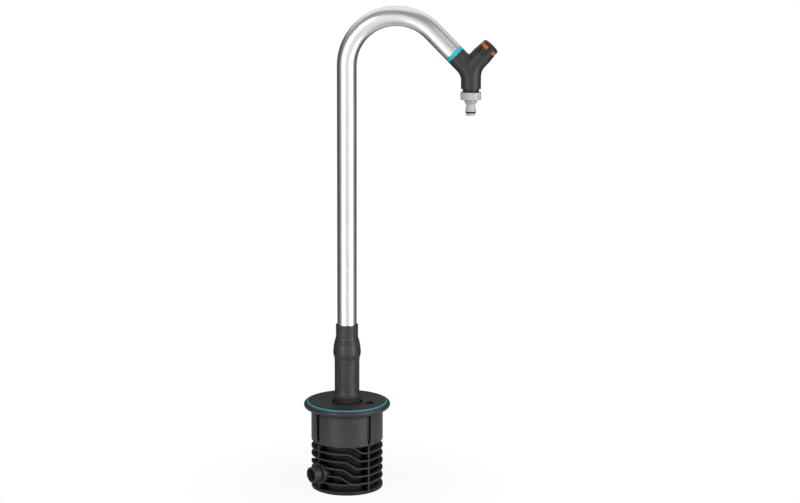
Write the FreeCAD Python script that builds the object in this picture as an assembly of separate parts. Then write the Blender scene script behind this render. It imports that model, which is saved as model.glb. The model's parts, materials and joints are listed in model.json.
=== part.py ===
import FreeCAD, Part
import math
import os
from FreeCAD import Rotation, Vector

# Garden tap: a finned ground box, a standpipe that plugs into it, and a Y valve with a knob.
# Millimetres, +Z up, origin at the centre of the box's underside, spout along +X.
# Angles are degrees, measured from +X towards +Y.

# Clearances shared by all pieces
running_gap = 0.05
part_gap = 0.3
seal_gap = 0.1

# How far cutting bodies pass a surface, and joined bodies enter each other
overshoot = 1.0

# Ground box
box_radius = 60.0
core_radius = 48.0
core_wall = 2.5
box_rim_height = 4.5
first_fin_height = 18.0
fin_pitch = 13.0
fin_count = 5
fin_thickness = 2.0
wave_azimuth = -78.4
wave_width = 27.5
wave_shift = 5.0
last_wave_step = 0.15
wave_inset = 0.1
fin_cutback_start = 135.0
fin_cutback_end = 182.5
fin_cutback_level = 2
skirt_bottom = 81.0
skirt_wall = 3.0
skirt_lip = 1.6
slot_rise = 3.0
slot_foot_height = 8.0
slot_foot_width = 2.0
slot_width = 7.2
slot_top_width = 8.2
deck_top = 130.0
deck_thickness = 3.0
deck_hole_radius = 30.0
rib_width = 2.0
rib_azimuths = [-135.0, -45.0, 45.0, 135.0]
base_thickness = 3.0
base_gap = 0.1
ledge_width = 2.5
ledge_height = 2.0

# Top flange, ring and disc; heights above the deck
flange_rise = 6.3
flange_lap = 0.7
flange_rim_width = 5.6
flange_nose_radius = 5.3
flange_inner_radius = 47.0
flange_plate_thickness = 3.0
flange_groove_inner = 50.0
flange_groove_outer = 53.5
flange_groove_height = 7.0
ring_outer_radius = 66.6
ring_width = 1.7
ring_height = 4.2
disc_rise = 13.0
disc_thickness = 3.0
disc_edge_gap = 0.1
mark_azimuth = -11.3
mark_radius = 39.5
mark_length = 17.6
mark_width = 10.8
mark_peak_height = 9.0
mark_peak_width = 9.0
mark_depth = 1.2
mark_line_width = 1.0
mark_line_height = 0.4
mark_line_gap = 1.0

# Inlet, elbow and strainer
inlet_azimuth = -135.0
inlet_height = 31.0
inlet_radius = 13.2
inlet_bore_radius = 10.5
inlet_end = 74.5
inlet_collar_radius = 18.0
inlet_collar_thickness = 2.0
inlet_boss_end = 58.5
nipple_spigot_radius = 11.0
nipple_spigot_bore = 8.5
nipple_spigot_start = 33.0
elbow_radius = 13.5
elbow_bore_radius = 8.0
elbow_socket_depth = 10.3
strainer_thickness = 2.0
strainer_sheet = 0.8
strainer_hole_radius = 0.9
strainer_inner_count = 6
strainer_inner_radius = 2.8
strainer_outer_count = 12
strainer_outer_radius = 5.8
feed_ring_section = 0.9

# Stop valve, hung under the receiver
chamber_depth = 24.0
chamber_radius = 22.0
chamber_bore_radius = 16.0
chamber_floor_thickness = 4.0
chamber_flange_radius = 26.0
chamber_flange_thickness = 4.0
chamber_spigot_length = 10.0
guide_radius = 5.5
guide_height = 4.0
guide_arm_width = 2.0
guide_arm_height = 3.0
guide_arm_count = 3
plunger_travel = 6.0
plunger_radius = 12.5
plunger_thickness = 3.7
plunger_stem_radius = 4.0
plunger_tail_radius = 3.0
plunger_tail_length = 20.0
plunger_seal_radius = 11.0
plunger_seal_thickness = 2.0
spring_radius = 9.5
spring_wire_radius = 0.6
spring_turns = 4.0
chamber_seal_radius = 19.0
chamber_seal_section = 0.8

# Receiver, hung in the deck, and its screws
receiver_depth = 46.0
receiver_radius = 28.0
receiver_plate_radius = 46.7
receiver_plate_thickness = 4.0
seat_thickness = 4.0
seat_hole_radius = 9.5
plug_bore_radius = 18.0
foot_socket_depth = 19.0
lug_cavity_rise = 4.5
lug_cavity_height = 7.0
screw_count = 4
screw_circle_radius = 38.0
screw_radius = 2.0
screw_head_radius = 3.8
screw_head_height = 2.5
screw_length = 12.0
screw_boss_radius = 4.5
screw_azimuth = 20.0

# Plug
plug_end_gap = 2.0
plug_bore = 9.0
plug_neck_radius = 15.0
plug_tip_length = 1.7
plug_web_width = 4.0
plug_web_height = 3.0
plug_ring_section = 1.5
plug_ring_inset = 5.5
plug_ring_pitch = 7.5
retainer_width = 3.0
retainer_thickness = 2.0
retainer_split = 4.0

# Foot tube and swivel collar
foot_lower_radius = 20.5
foot_radius = 20.75
foot_step_height = 49.0
foot_flare_radius = 25.0
foot_flare_undercut = 0.3
foot_flare_wall = 6.1
foot_flare_rise = 12.6
foot_mouth_radius = 22.1
foot_mouth_height = 9.0
foot_chamber_radius = 18.2
foot_neck_radius = 19.7
foot_neck_length = 12.0
lug_radius = 24.2
lug_thickness = 5.0
lug_angle = 44.0
lug_angle_gap = 4.0
lug_side_gap = 0.4
lug_floor_gap = 1.0
collar_bottom = 225.0
collar_height = 26.3
collar_mouth_radius = 22.3
collar_belly_radius = 23.0
collar_belly_start = 3.6
collar_belly_end = 8.5
collar_shoulder_radius = 21.8
collar_shoulder_place = 19.0
collar_top_radius = 20.25
collar_seam_place = 22.7
collar_seam_depth = 0.5
collar_seam_width = 1.0
neck_length = 15.0
neck_wall = 1.0

# Clamp nut and clamp ring
nut_radius = 18.5
nut_height = 26.4
nut_skirt_radius = 20.2
nut_skirt_height = 5.0
nut_lip = 4.0
nut_grip_count = 10
nut_grip_width = 5.5
nut_grip_depth = 0.5
nut_grip_start = 7.0
nut_grip_margin = 3.0
clamp_ring_width = 1.05
clamp_ring_edge_width = 0.8
clamp_ring_split = 2.0

# Pipe
pipe_radius = 16.0
pipe_wall = 1.5
pipe_insert = 19.0
bend_centre_height = 706.5
bend_radius = 81.0
bend_angle = 135.0
spout_straight = 47.6
sleeve_lip = 2.0
sleeve_ring_section = 0.75
sleeve_ring_inset = 5.0
sleeve_ring_pitch = 9.0

# Valve body; lengths along an arm start where its axis meets the outlet's axis
arm_radius = 16.1
arm_blend_radius = 22.0
inlet_arm_length = 34.8
trim_width = 6.8
trim_proud = 0.2
spigot_insert = 20.0
spigot_gap = 0.05
spigot_ring_section = 0.7
spigot_ring_inset = 9.6
knob_axis_rise = 7.3
knob_lean = 43.5
knob_arm_length = 27.0
outlet_length = 28.0
inlet_way_radius = 6.5
inlet_way_stop = 2.0
seat_port_radius = 4.5
seat_port_offset = 5.5
disc_seat = 8.0
drop_way_radius = 4.0
drop_way_place = 14.0
outlet_socket_depth = 16.0
outlet_socket_step = 3.0

# Disc valve along the knob's axis
cartridge_radius = 13.0
valve_disc_thickness = 3.0
turning_disc_radius = 12.0
bonnet_start = 18.5
spindle_radius = 6.0
spindle_collar_radius = 8.0
spindle_blade_width = 4.0
spindle_blade_length = 16.0
spindle_shoulder = 29.0
spindle_tip_radius = 4.0
spindle_tip = 39.0
spindle_ring_section = 0.8
spindle_ring_place = 20.9
spindle_ring_pitch = 3.5
bonnet_ring_place = 22.6
bonnet_ring_section = 0.8

# Knob along the same axis
knob_radius = 15.8
knob_end_radius = 14.05
knob_bore_radius = 12.2
knob_end = 48.7
knob_cap_start = 45.3
knob_cap_round = 1.9
knob_cap_plug = 1.2
knob_web_thickness = 2.0
window_start = 39.1
window_end = 43.3
window_count = 3
window_azimuth = 105.0
window_angle = 80.0
marker_wall = 2.1
marker_sink = 0.3
marker_gap = 0.1
marker_pad_angle = 78.0
knob_screw_radius = 2.0
knob_screw_head_radius = 6.0
knob_screw_head_height = 2.0
knob_screw_length = 8.0

# Outlet and hose connector; the connector's places are depths under its nut
thread_radius = 13.25
thread_depth = 0.8
thread_pitch = 1.81
thread_count = 7
thread_bore_radius = 10.0
thread_length = 15.7
gasket_bore_radius = 8.0
gasket_thickness = 2.0
connector_nut_radius = 16.75
connector_nut_height = 13.5
connector_floor = 1.5
connector_grip_count = 12
connector_grip_width = 3.2
connector_grip_depth = 0.6
connector_shoulder_radius = 10.0
connector_shoulder_taper = 0.3
connector_shoulder_end = 3.0
connector_neck_radius = 7.0
connector_neck_start = 6.0
connector_neck_end = 10.5
connector_collar_radius = 8.25
connector_collar_start = 11.5
connector_collar_end = 13.5
connector_barrel_step = 0.4
connector_ring_place = 19.3
connector_ring_radius = 8.5
connector_ring_section = 0.95
connector_tip_radius = 7.8
connector_tip_end = 23.9
connector_tip_chamfer = 0.8
connector_bore_radius = 5.0

# Worked out from the values above
vertical = Vector(0, 0, 1)
skirt_inner_radius = box_radius - skirt_wall
flange_bottom = deck_top + flange_rise
flange_middle = flange_bottom + flange_nose_radius
flange_radius = ring_outer_radius + flange_rim_width
flange_nose_centre = flange_radius - flange_nose_radius
skirt_top = flange_bottom + flange_lap
disc_bottom = deck_top + disc_rise
disc_top = disc_bottom + disc_thickness
seat_height = deck_top - receiver_depth
chamber_floor = seat_height - chamber_depth
chamber_floor_bottom = chamber_floor - chamber_floor_thickness
chamber_spigot_bottom = chamber_floor_bottom - chamber_spigot_length
plug_bottom = seat_height + seat_thickness + plug_end_gap
plug_ring_heights = [plug_bottom + plug_ring_inset + plug_ring_pitch * index for index in range(2)]
foot_socket_floor = deck_top - foot_socket_depth
foot_socket_radius = foot_lower_radius + part_gap
foot_shoulder = foot_socket_floor + foot_step_height
retainer_seat = foot_shoulder + part_gap
plug_top = retainer_seat + retainer_thickness + plug_tip_length
lug_cavity_bottom = foot_socket_floor + lug_cavity_rise
lug_cavity_radius = lug_radius + lug_side_gap
lug_bottom = lug_cavity_bottom + lug_floor_gap
collar_top = collar_bottom + collar_height
nut_bottom = collar_top + part_gap
nut_top = nut_bottom + nut_height
pipe_bottom = collar_bottom - pipe_insert
pipe_inner_radius = pipe_radius - pipe_wall
sleeve_ring_heights = [pipe_bottom + sleeve_ring_inset + sleeve_ring_pitch * index for index in range(2)]
spout_fall = math.radians(bend_angle) - math.pi / 2
spout_direction = Vector(math.cos(spout_fall), 0, -math.sin(spout_fall))
bend_end = Vector(
    bend_radius + bend_radius * math.sin(spout_fall),
    0,
    bend_centre_height + bend_radius * math.cos(spout_fall),
)
junction = bend_end + spout_direction * (spout_straight + trim_width + inlet_arm_length)
knob_fall = math.radians(knob_lean)
knob_root = junction + vertical * knob_axis_rise
knob_direction = Vector(math.sin(knob_fall), 0, math.cos(knob_fall))
spigot_ring_place = inlet_arm_length + trim_width + spigot_ring_inset
spindle_blade_start = disc_seat + 2 * valve_disc_thickness
spindle_ring_places = [spindle_ring_place, spindle_ring_place + spindle_ring_pitch]
outlet_bottom = junction.z - outlet_length
thread_bottom = outlet_bottom - thread_length
connector_nut_bottom = thread_bottom - gasket_thickness - connector_floor
connector_ring_height = connector_nut_bottom - connector_ring_place


def tube(outer, inner, bottom, top):
    """A round tube about the Z axis; an inner radius of 0 gives a bar."""
    body = Part.makeCylinder(outer, top - bottom, Vector(0, 0, bottom))
    if inner > 0:
        body = body.cut(Part.makeCylinder(inner, top - bottom, Vector(0, 0, bottom)))
    return body


def turned(points):
    """A solid of revolution about Z from (radius, height) corners."""
    corners = [Vector(radius, 0, height) for radius, height in points]
    outline = Part.makePolygon(corners + corners[:1])
    return Part.Face(outline).revolve(Vector(), vertical, 360)


def sector(outer, inner, bottom, top, start, sweep):
    """Part of a tube that starts at an azimuth and sweeps on from it."""
    body = Part.makeCylinder(outer, top - bottom, Vector(0, 0, bottom), vertical, sweep)
    if inner > 0:
        body = body.cut(tube(inner, 0, bottom, top))
    body.rotate(Vector(), vertical, start)
    return body


def bar(start_radius, end_radius, width, bottom, top, azimuth):
    """A flat radial bar between two radii."""
    body = Part.makeBox(end_radius - start_radius, width, top - bottom,
                        Vector(start_radius, -width / 2, bottom))
    body.rotate(Vector(), vertical, azimuth)
    return body


def o_ring(centre_radius, section_radius, height):
    """A round rubber ring about Z."""
    return Part.makeTorus(centre_radius, section_radius, Vector(0, 0, height))


def along(shape, start, direction):
    """Moves a shape built about Z so that it stands at a point along a direction."""
    placed = shape.copy()
    placed.Placement = FreeCAD.Placement(start, Rotation(vertical, direction)).multiply(shape.Placement)
    return placed


def joined(first, *others):
    """One shape of solids that touch or overlap."""
    pieces = [solid for shape in others for solid in shape.Solids]
    return first.multiFuse(pieces).removeSplitter()


def save(name, shape):
    solids = shape.Solids
    if len(solids) == 1:
        shape = solids[0]
    if not shape.isValid():
        raise ValueError(name + " is not a valid solid")
    shape.exportStep("parts/" + name + ".step")
    print(name, len(solids), "solids", round(shape.Volume / 1000, 2), "cm3")


# Ground box

def wave_height(level, drop, share):
    """Height of a fin's underside as it falls, share from 0 to 1 across the wave."""
    ease = (1 - math.cos(math.pi * share)) / 2
    return level - fin_thickness / 2 - drop * ease


def wave_start(step):
    return wave_azimuth - wave_shift * step


def wave_edge(radius, level, drop, start, rise):
    steps = 12
    points = []
    for step in range(steps + 1):
        angle = math.radians(start + wave_width * step / steps)
        height = wave_height(level, drop, step / steps) + rise
        points.append(Vector(radius * math.cos(angle), radius * math.sin(angle), height))
    curve = Part.BSplineCurve()
    curve.interpolate(points)
    return curve.toShape()


def fin_wave(level, drop, start):
    """The stretch of fin that falls from one level to the next."""
    inner = core_radius - core_wall / 4
    outer = box_radius - wave_inset
    low_in = wave_edge(inner, level, drop, start, 0)
    low_out = wave_edge(outer, level, drop, start, 0)
    high_in = wave_edge(inner, level, drop, start, fin_thickness)
    high_out = wave_edge(outer, level, drop, start, fin_thickness)
    sides = [
        Part.makeRuledSurface(low_in, low_out),
        Part.makeRuledSurface(high_in, high_out),
        Part.makeRuledSurface(low_in, high_in),
        Part.makeRuledSurface(low_out, high_out),
    ]
    for end in (0, 1):
        corners = [edge.Vertexes[-end].Point for edge in (low_in, low_out, high_out, high_in)]
        sides.append(Part.Face(Part.makePolygon(corners + corners[:1])))
    shell = Part.makeShell(sides)
    shell.sewShape()
    solid = Part.makeSolid(shell)
    if solid.Volume < 0:
        solid.reverse()
    return solid


def fin_rings():
    """Level fins; each one comes down from the fin above and goes on down to the fin below."""
    pieces = []
    inner = core_radius - core_wall / 2
    for index in range(fin_count):
        level = first_fin_height + fin_pitch * index
        bottom = level - fin_thickness / 2
        steps_from_top = fin_count - index
        arrival = wave_start(steps_from_top - 1) + wave_width
        departure = wave_start(steps_from_top) + 360
        if index == 0:
            pieces.append(tube(box_radius, inner, bottom, bottom + fin_thickness))
        elif index == fin_cutback_level:
            first = fin_cutback_start - arrival
            second = departure - fin_cutback_end
            pieces.append(sector(box_radius, inner, bottom, bottom + fin_thickness, arrival, first))
            pieces.append(sector(box_radius, inner, bottom, bottom + fin_thickness, fin_cutback_end, second))
        else:
            sweep = departure - arrival
            pieces.append(sector(box_radius, inner, bottom, bottom + fin_thickness, arrival, sweep))
        drop = fin_pitch - last_wave_step if index == 0 else fin_pitch
        pieces.append(fin_wave(level + fin_pitch, drop, wave_start(steps_from_top - 1)))
    return pieces


def inlet_place(shape):
    """Stands a shape built about Z along the inlet's axis, from the box's centre line."""
    angle = math.radians(inlet_azimuth)
    return along(shape, Vector(0, 0, inlet_height), Vector(math.cos(angle), math.sin(angle), 0))


def skirt_slot(azimuth):
    """Cutter for an upright slot with a narrow foot."""
    foot = skirt_bottom + slot_rise
    half = [
        (slot_foot_width / 2, foot),
        (slot_width / 2, foot + slot_foot_height),
        (slot_top_width / 2, skirt_top + overshoot),
    ]
    corners = [Vector(core_radius, side, height) for side, height in half]
    corners += [Vector(core_radius, -side, height) for side, height in reversed(half)]
    depth = Vector(box_radius + overshoot - core_radius, 0, 0)
    cutter = Part.Face(Part.makePolygon(corners + corners[:1])).extrude(depth)
    cutter.rotate(Vector(), vertical, azimuth)
    return cutter


def make_ground_box():
    core = tube(core_radius, core_radius - core_wall, 0, deck_top - deck_thickness)
    rim = tube(box_radius, core_radius - core_wall, 0, box_rim_height)
    deck = tube(skirt_inner_radius, deck_hole_radius, deck_top - deck_thickness, deck_top)
    skirt = turned([
        (skirt_inner_radius, skirt_bottom),
        (box_radius - skirt_lip, skirt_bottom),
        (box_radius, skirt_bottom + skirt_lip),
        (box_radius, skirt_top),
        (skirt_inner_radius, skirt_top),
    ])
    for azimuth in rib_azimuths:
        skirt = skirt.cut(skirt_slot(azimuth))
    ledge = tube(core_radius - core_wall / 2, core_radius - core_wall - ledge_width,
                 base_thickness, base_thickness + ledge_height)
    rib_angle = math.degrees(rib_width / box_radius)
    ribs = []
    for azimuth in rib_azimuths:
        start = azimuth - rib_angle / 2
        inner = core_radius - core_wall / 2
        ribs.append(sector(box_radius, inner, box_rim_height / 2, skirt_bottom, start, rib_angle))
        ribs.append(sector(skirt_inner_radius, inner, skirt_bottom, deck_top - deck_thickness / 2,
                           start, rib_angle))
    body = joined(core, rim, *ribs)
    pieces = [deck, skirt, ledge] + fin_rings()
    for index in range(screw_count):
        boss = tube(screw_boss_radius, 0, deck_top - screw_length, deck_top - deck_thickness)
        boss.translate(Vector(screw_circle_radius, 0, 0))
        boss.rotate(Vector(), vertical, screw_azimuth + 360 * index / screw_count)
        pieces.append(boss)
    boss_start = math.sqrt((core_radius - core_wall) ** 2 - inlet_radius ** 2) + seal_gap
    pieces.append(inlet_place(tube(inlet_collar_radius, 0, boss_start, inlet_boss_end)))
    box = body
    for piece in pieces:
        box = joined(box, piece)
    box = box.cut(inlet_place(tube(inlet_radius, 0, boss_start - core_wall, inlet_end)))
    mouth = tube(inlet_collar_radius + part_gap, 0, inlet_boss_end, inlet_end)
    box = box.cut(inlet_place(mouth))
    for index in range(screw_count):
        hole = tube(screw_radius, 0, deck_top - screw_length, deck_top)
        hole.translate(Vector(screw_circle_radius, 0, 0))
        hole.rotate(Vector(), vertical, screw_azimuth + 360 * index / screw_count)
        box = box.cut(hole)
    return box


def make_base_plate():
    return tube(core_radius - core_wall - base_gap, 0, 0, base_thickness)


def make_top_flange():
    nose_top = math.sqrt(flange_nose_radius ** 2 - (ring_outer_radius - flange_nose_centre) ** 2)
    slant = flange_nose_radius / math.sqrt(2)
    corners = {
        "under": Vector(flange_nose_centre, 0, flange_bottom),
        "low": Vector(flange_nose_centre + slant, 0, flange_middle - slant),
        "tip": Vector(flange_radius, 0, flange_middle),
        "ring": Vector(ring_outer_radius, 0, flange_middle + nose_top),
    }
    middle_angle = math.atan2(nose_top, ring_outer_radius - flange_nose_centre) / 2
    high = Vector(flange_nose_centre + flange_nose_radius * math.cos(middle_angle), 0,
                  flange_middle + flange_nose_radius * math.sin(middle_angle))
    plate_bottom = disc_bottom - flange_plate_thickness
    hole = receiver_radius + part_gap
    lap_inner = skirt_inner_radius - part_gap
    path = [
        corners["ring"],
        Vector(ring_outer_radius, 0, disc_bottom),
        Vector(hole, 0, disc_bottom),
        Vector(hole, 0, plate_bottom),
        Vector(flange_inner_radius, 0, plate_bottom),
        Vector(flange_inner_radius, 0, deck_top),
        Vector(lap_inner, 0, deck_top),
        Vector(lap_inner, 0, flange_bottom),
        corners["under"],
    ]
    edges = [Part.LineSegment(start, end).toShape() for start, end in zip(path, path[1:])]
    edges.append(Part.Arc(corners["under"], corners["low"], corners["tip"]).toShape())
    edges.append(Part.Arc(corners["tip"], high, corners["ring"]).toShape())
    flange = Part.Face(Part.Wire(edges)).revolve(Vector(), vertical, 360)
    groove = tube(flange_groove_outer, flange_groove_inner, deck_top, deck_top + flange_groove_height)
    lap = tube(box_radius + part_gap, lap_inner, flange_bottom, skirt_top + part_gap)
    return flange.cut(groove).cut(lap)


def make_trim_ring():
    top = disc_bottom + ring_height
    ring = tube(ring_outer_radius, ring_outer_radius - ring_width, disc_bottom, top)
    edges = [edge for edge in ring.Edges if edge.Length > 1 and abs(edge.BoundBox.ZMin - top) < 0.01
             and edge.BoundBox.ZLength < 0.01]
    return ring.makeFillet(ring_width / 4, edges)


def make_cover_disc():
    disc = tube(ring_outer_radius - ring_width - disc_edge_gap, lug_cavity_radius, disc_bottom, disc_top)
    floor = disc_top - mark_depth
    height = mark_depth + overshoot
    lens_radius = (mark_length ** 2 + mark_width ** 2) / (4 * mark_width)
    shift = lens_radius - mark_width / 2
    upper = Part.makeCylinder(lens_radius, height, Vector(mark_radius, -shift, floor))
    lower = Part.makeCylinder(lens_radius, height, Vector(mark_radius, shift, floor))
    corners = [
        Vector(mark_radius - mark_peak_width / 2, 0, floor),
        Vector(mark_radius + mark_peak_width / 2, 0, floor),
        Vector(mark_radius, mark_width / 2 + mark_peak_height, floor),
    ]
    peak = Part.Face(Part.makePolygon(corners + corners[:1])).extrude(vertical * height)
    mark = joined(upper.common(lower), peak)
    mark.rotate(Vector(), vertical, mark_azimuth)
    line_end = mark_radius - mark_length / 2 - mark_line_gap
    line = bar(foot_flare_radius + mark_line_gap, line_end, mark_line_width,
               disc_top - mark_line_height, disc_top + mark_line_height, mark_azimuth)
    return joined(disc.cut(mark), line)


# Inlet side

def make_inlet_nipple():
    groove = nipple_spigot_radius - 2 * feed_ring_section
    groove_middle = nipple_spigot_start + elbow_socket_depth / 2
    nipple = turned([
        (nipple_spigot_bore, nipple_spigot_start),
        (nipple_spigot_radius, nipple_spigot_start),
        (nipple_spigot_radius, groove_middle - feed_ring_section),
        (groove, groove_middle - feed_ring_section),
        (groove, groove_middle + feed_ring_section),
        (nipple_spigot_radius, groove_middle + feed_ring_section),
        (nipple_spigot_radius, nipple_spigot_start + elbow_socket_depth),
        (inlet_radius, nipple_spigot_start + elbow_socket_depth),
        (inlet_radius, inlet_boss_end),
        (inlet_collar_radius, inlet_boss_end),
        (inlet_collar_radius, inlet_boss_end + inlet_collar_thickness),
        (inlet_radius, inlet_boss_end + inlet_collar_thickness),
        (inlet_radius, inlet_end),
        (inlet_bore_radius, inlet_end),
        (inlet_bore_radius, nipple_spigot_start + elbow_socket_depth),
        (nipple_spigot_bore, nipple_spigot_start + elbow_socket_depth),
    ])
    return inlet_place(nipple)


def make_inlet_o_ring():
    place = nipple_spigot_start + elbow_socket_depth / 2
    return inlet_place(o_ring(nipple_spigot_radius - feed_ring_section, feed_ring_section, place))


def make_inlet_strainer():
    start = nipple_spigot_start + elbow_socket_depth
    rim = tube(inlet_bore_radius, nipple_spigot_bore, start, start + strainer_thickness)
    sheet = tube(nipple_spigot_bore, 0, start, start + strainer_sheet)
    holes = []
    rows = [(strainer_inner_count, strainer_inner_radius), (strainer_outer_count, strainer_outer_radius)]
    for count, radius in rows:
        for index in range(count):
            hole = tube(strainer_hole_radius, 0, start, start + strainer_sheet)
            hole.translate(Vector(radius, 0, 0))
            hole.rotate(Vector(), vertical, 360 * index / count)
            holes.append(hole)
    return inlet_place(joined(rim, sheet.cut(Part.makeCompound(holes))))


def make_feed_elbow():
    reach = nipple_spigot_start + elbow_socket_depth
    upright = tube(elbow_radius, 0, inlet_height, chamber_floor_bottom)
    level = inlet_place(tube(elbow_radius, 0, 0, reach))
    knuckle = Part.makeSphere(elbow_radius, Vector(0, 0, inlet_height))
    body = joined(upright, level, knuckle)
    cuts = [
        tube(elbow_bore_radius, 0, inlet_height, chamber_floor_bottom),
        tube(nipple_spigot_radius, 0, chamber_spigot_bottom, chamber_floor_bottom),
        inlet_place(tube(elbow_bore_radius, 0, 0, reach)),
        inlet_place(tube(nipple_spigot_radius, 0, nipple_spigot_start, reach)),
        Part.makeSphere(elbow_bore_radius, Vector(0, 0, inlet_height)),
    ]
    return body.cut(cuts[0].multiFuse(cuts[1:]))


# Stop valve in the box

def make_valve_chamber():
    groove_middle = (chamber_spigot_bottom + chamber_floor_bottom) / 2
    groove = nipple_spigot_radius - 2 * feed_ring_section
    flange_bottom = seat_height - chamber_flange_thickness
    seal_in = chamber_seal_radius - chamber_seal_section
    seal_out = chamber_seal_radius + chamber_seal_section
    seal_floor = seat_height - 2 * chamber_seal_section
    chamber = turned([
        (elbow_bore_radius, chamber_spigot_bottom),
        (nipple_spigot_radius, chamber_spigot_bottom),
        (nipple_spigot_radius, groove_middle - feed_ring_section),
        (groove, groove_middle - feed_ring_section),
        (groove, groove_middle + feed_ring_section),
        (nipple_spigot_radius, groove_middle + feed_ring_section),
        (nipple_spigot_radius, chamber_floor_bottom),
        (chamber_radius, chamber_floor_bottom),
        (chamber_radius, flange_bottom),
        (chamber_flange_radius, flange_bottom),
        (chamber_flange_radius, seat_height),
        (seal_out, seat_height),
        (seal_out, seal_floor),
        (seal_in, seal_floor),
        (seal_in, seat_height),
        (chamber_bore_radius, seat_height),
        (chamber_bore_radius, chamber_floor),
        (elbow_bore_radius, chamber_floor),
    ])
    guide = tube(guide_radius, 0, chamber_floor_bottom, chamber_floor + guide_height)
    arms = []
    for index in range(guide_arm_count):
        arms.append(bar(0, elbow_bore_radius + overshoot, guide_arm_width,
                        chamber_floor - guide_arm_height, chamber_floor, 360 * index / guide_arm_count))
    guided = joined(chamber, guide, *arms)
    way = tube(plunger_tail_radius + part_gap, 0, chamber_floor_bottom, chamber_floor + guide_height)
    return guided.cut(way)


def make_chamber_o_ring():
    middle = (chamber_spigot_bottom + chamber_floor_bottom) / 2
    return o_ring(nipple_spigot_radius - feed_ring_section, feed_ring_section, middle)


def make_chamber_seal():
    return o_ring(chamber_seal_radius, chamber_seal_section, seat_height - chamber_seal_section)


seal_top = seat_height - part_gap - plunger_travel
plunger_top = seal_top - plunger_seal_thickness
plunger_bottom = plunger_top - plunger_thickness


def make_stop_plunger():
    stem_top = plug_bottom - part_gap
    disc = tube(plunger_radius, 0, plunger_bottom, plunger_top)
    stem = tube(plunger_stem_radius, 0, plunger_top, stem_top)
    tail = tube(plunger_tail_radius, 0, plunger_bottom - plunger_tail_length, plunger_bottom)
    return joined(disc, stem, tail)


def make_plunger_seal():
    return tube(plunger_seal_radius, plunger_stem_radius, plunger_top, seal_top)


def make_plunger_spring():
    start = chamber_floor + spring_wire_radius + seal_gap
    height = plunger_bottom - chamber_floor - 2 * (spring_wire_radius + seal_gap)
    path = Part.makeHelix(height / spring_turns, height, spring_radius)
    wire = Part.makeCircle(spring_wire_radius, Vector(spring_radius, 0, 0), Vector(0, 1, 0))
    coil = Part.Wire(path).makePipeShell([Part.Wire(wire)], True, True)
    coil.translate(Vector(0, 0, start))
    return coil


def make_receiver():
    plate_top = deck_top + receiver_plate_thickness
    cavity_top = lug_cavity_bottom + lug_cavity_height
    seat_top = seat_height + seat_thickness
    receiver = turned([
        (seat_hole_radius, seat_height),
        (receiver_radius, seat_height),
        (receiver_radius, deck_top),
        (receiver_plate_radius, deck_top),
        (receiver_plate_radius, plate_top),
        (receiver_radius, plate_top),
        (receiver_radius, disc_bottom),
        (foot_socket_radius, disc_bottom),
        (foot_socket_radius, cavity_top),
        (lug_cavity_radius, cavity_top),
        (lug_cavity_radius, lug_cavity_bottom),
        (foot_socket_radius, lug_cavity_bottom),
        (foot_socket_radius, foot_socket_floor),
        (plug_bore_radius, foot_socket_floor),
        (plug_bore_radius, seat_top),
        (seat_hole_radius, seat_top),
    ])
    slot_angle = lug_angle + 2 * lug_angle_gap
    for azimuth in (0, 180):
        slot = sector(lug_cavity_radius, foot_socket_radius - overshoot, cavity_top - overshoot, disc_bottom,
                      azimuth - slot_angle / 2, slot_angle)
        receiver = receiver.cut(slot)
    for index in range(screw_count):
        hole = tube(screw_radius, 0, deck_top, plate_top)
        hole.translate(Vector(screw_circle_radius, 0, 0))
        hole.rotate(Vector(), vertical, screw_azimuth + 360 * index / screw_count)
        receiver = receiver.cut(hole)
    return receiver


def make_receiver_screws():
    plate_top = deck_top + receiver_plate_thickness
    screws = []
    for index in range(screw_count):
        shank = tube(screw_radius, 0, deck_top - screw_length, plate_top)
        head = tube(screw_head_radius, 0, plate_top, plate_top + screw_head_height)
        screw = joined(shank, head)
        screw.translate(Vector(screw_circle_radius, 0, 0))
        screw.rotate(Vector(), vertical, screw_azimuth + 360 * index / screw_count)
        screws.append(screw.Solids[0])
    return Part.makeCompound(screws)


# Plug that enters the receiver

def plug_groove_floor():
    return plug_bore_radius - seal_gap - 2 * plug_ring_section


def make_plug_core():
    outer = plug_bore_radius - running_gap
    shoulder = foot_socket_floor - part_gap
    core = tube(outer, 0, plug_bottom, shoulder)
    neck = tube(plug_neck_radius, 0, shoulder, plug_top)
    core = joined(core, neck)
    core = core.cut(tube(plug_bore, 0, plug_bottom, plug_top))
    reach = plug_bore + overshoot
    web = bar(-reach, reach, plug_web_width, plug_bottom, plug_bottom + plug_web_height, 90)
    core = joined(core, web)
    for height in plug_ring_heights:
        core = core.cut(tube(outer + overshoot, plug_groove_floor(), height - plug_ring_section,
                             height + plug_ring_section))
    return core.cut(tube(plug_neck_radius + overshoot, plug_neck_radius - retainer_width / 3,
                         retainer_seat, retainer_seat + retainer_thickness))


def make_plug_o_rings():
    centre = plug_groove_floor() + plug_ring_section
    return Part.makeCompound([o_ring(centre, plug_ring_section, height) for height in plug_ring_heights])


def make_plug_retainer():
    inner = plug_neck_radius - retainer_width / 3
    top = retainer_seat + retainer_thickness
    ring = tube(inner + retainer_width, inner, retainer_seat, top)
    return ring.cut(bar(0, inner + 2 * retainer_width, retainer_split, retainer_seat, top, 45))


# Foot and collar

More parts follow.
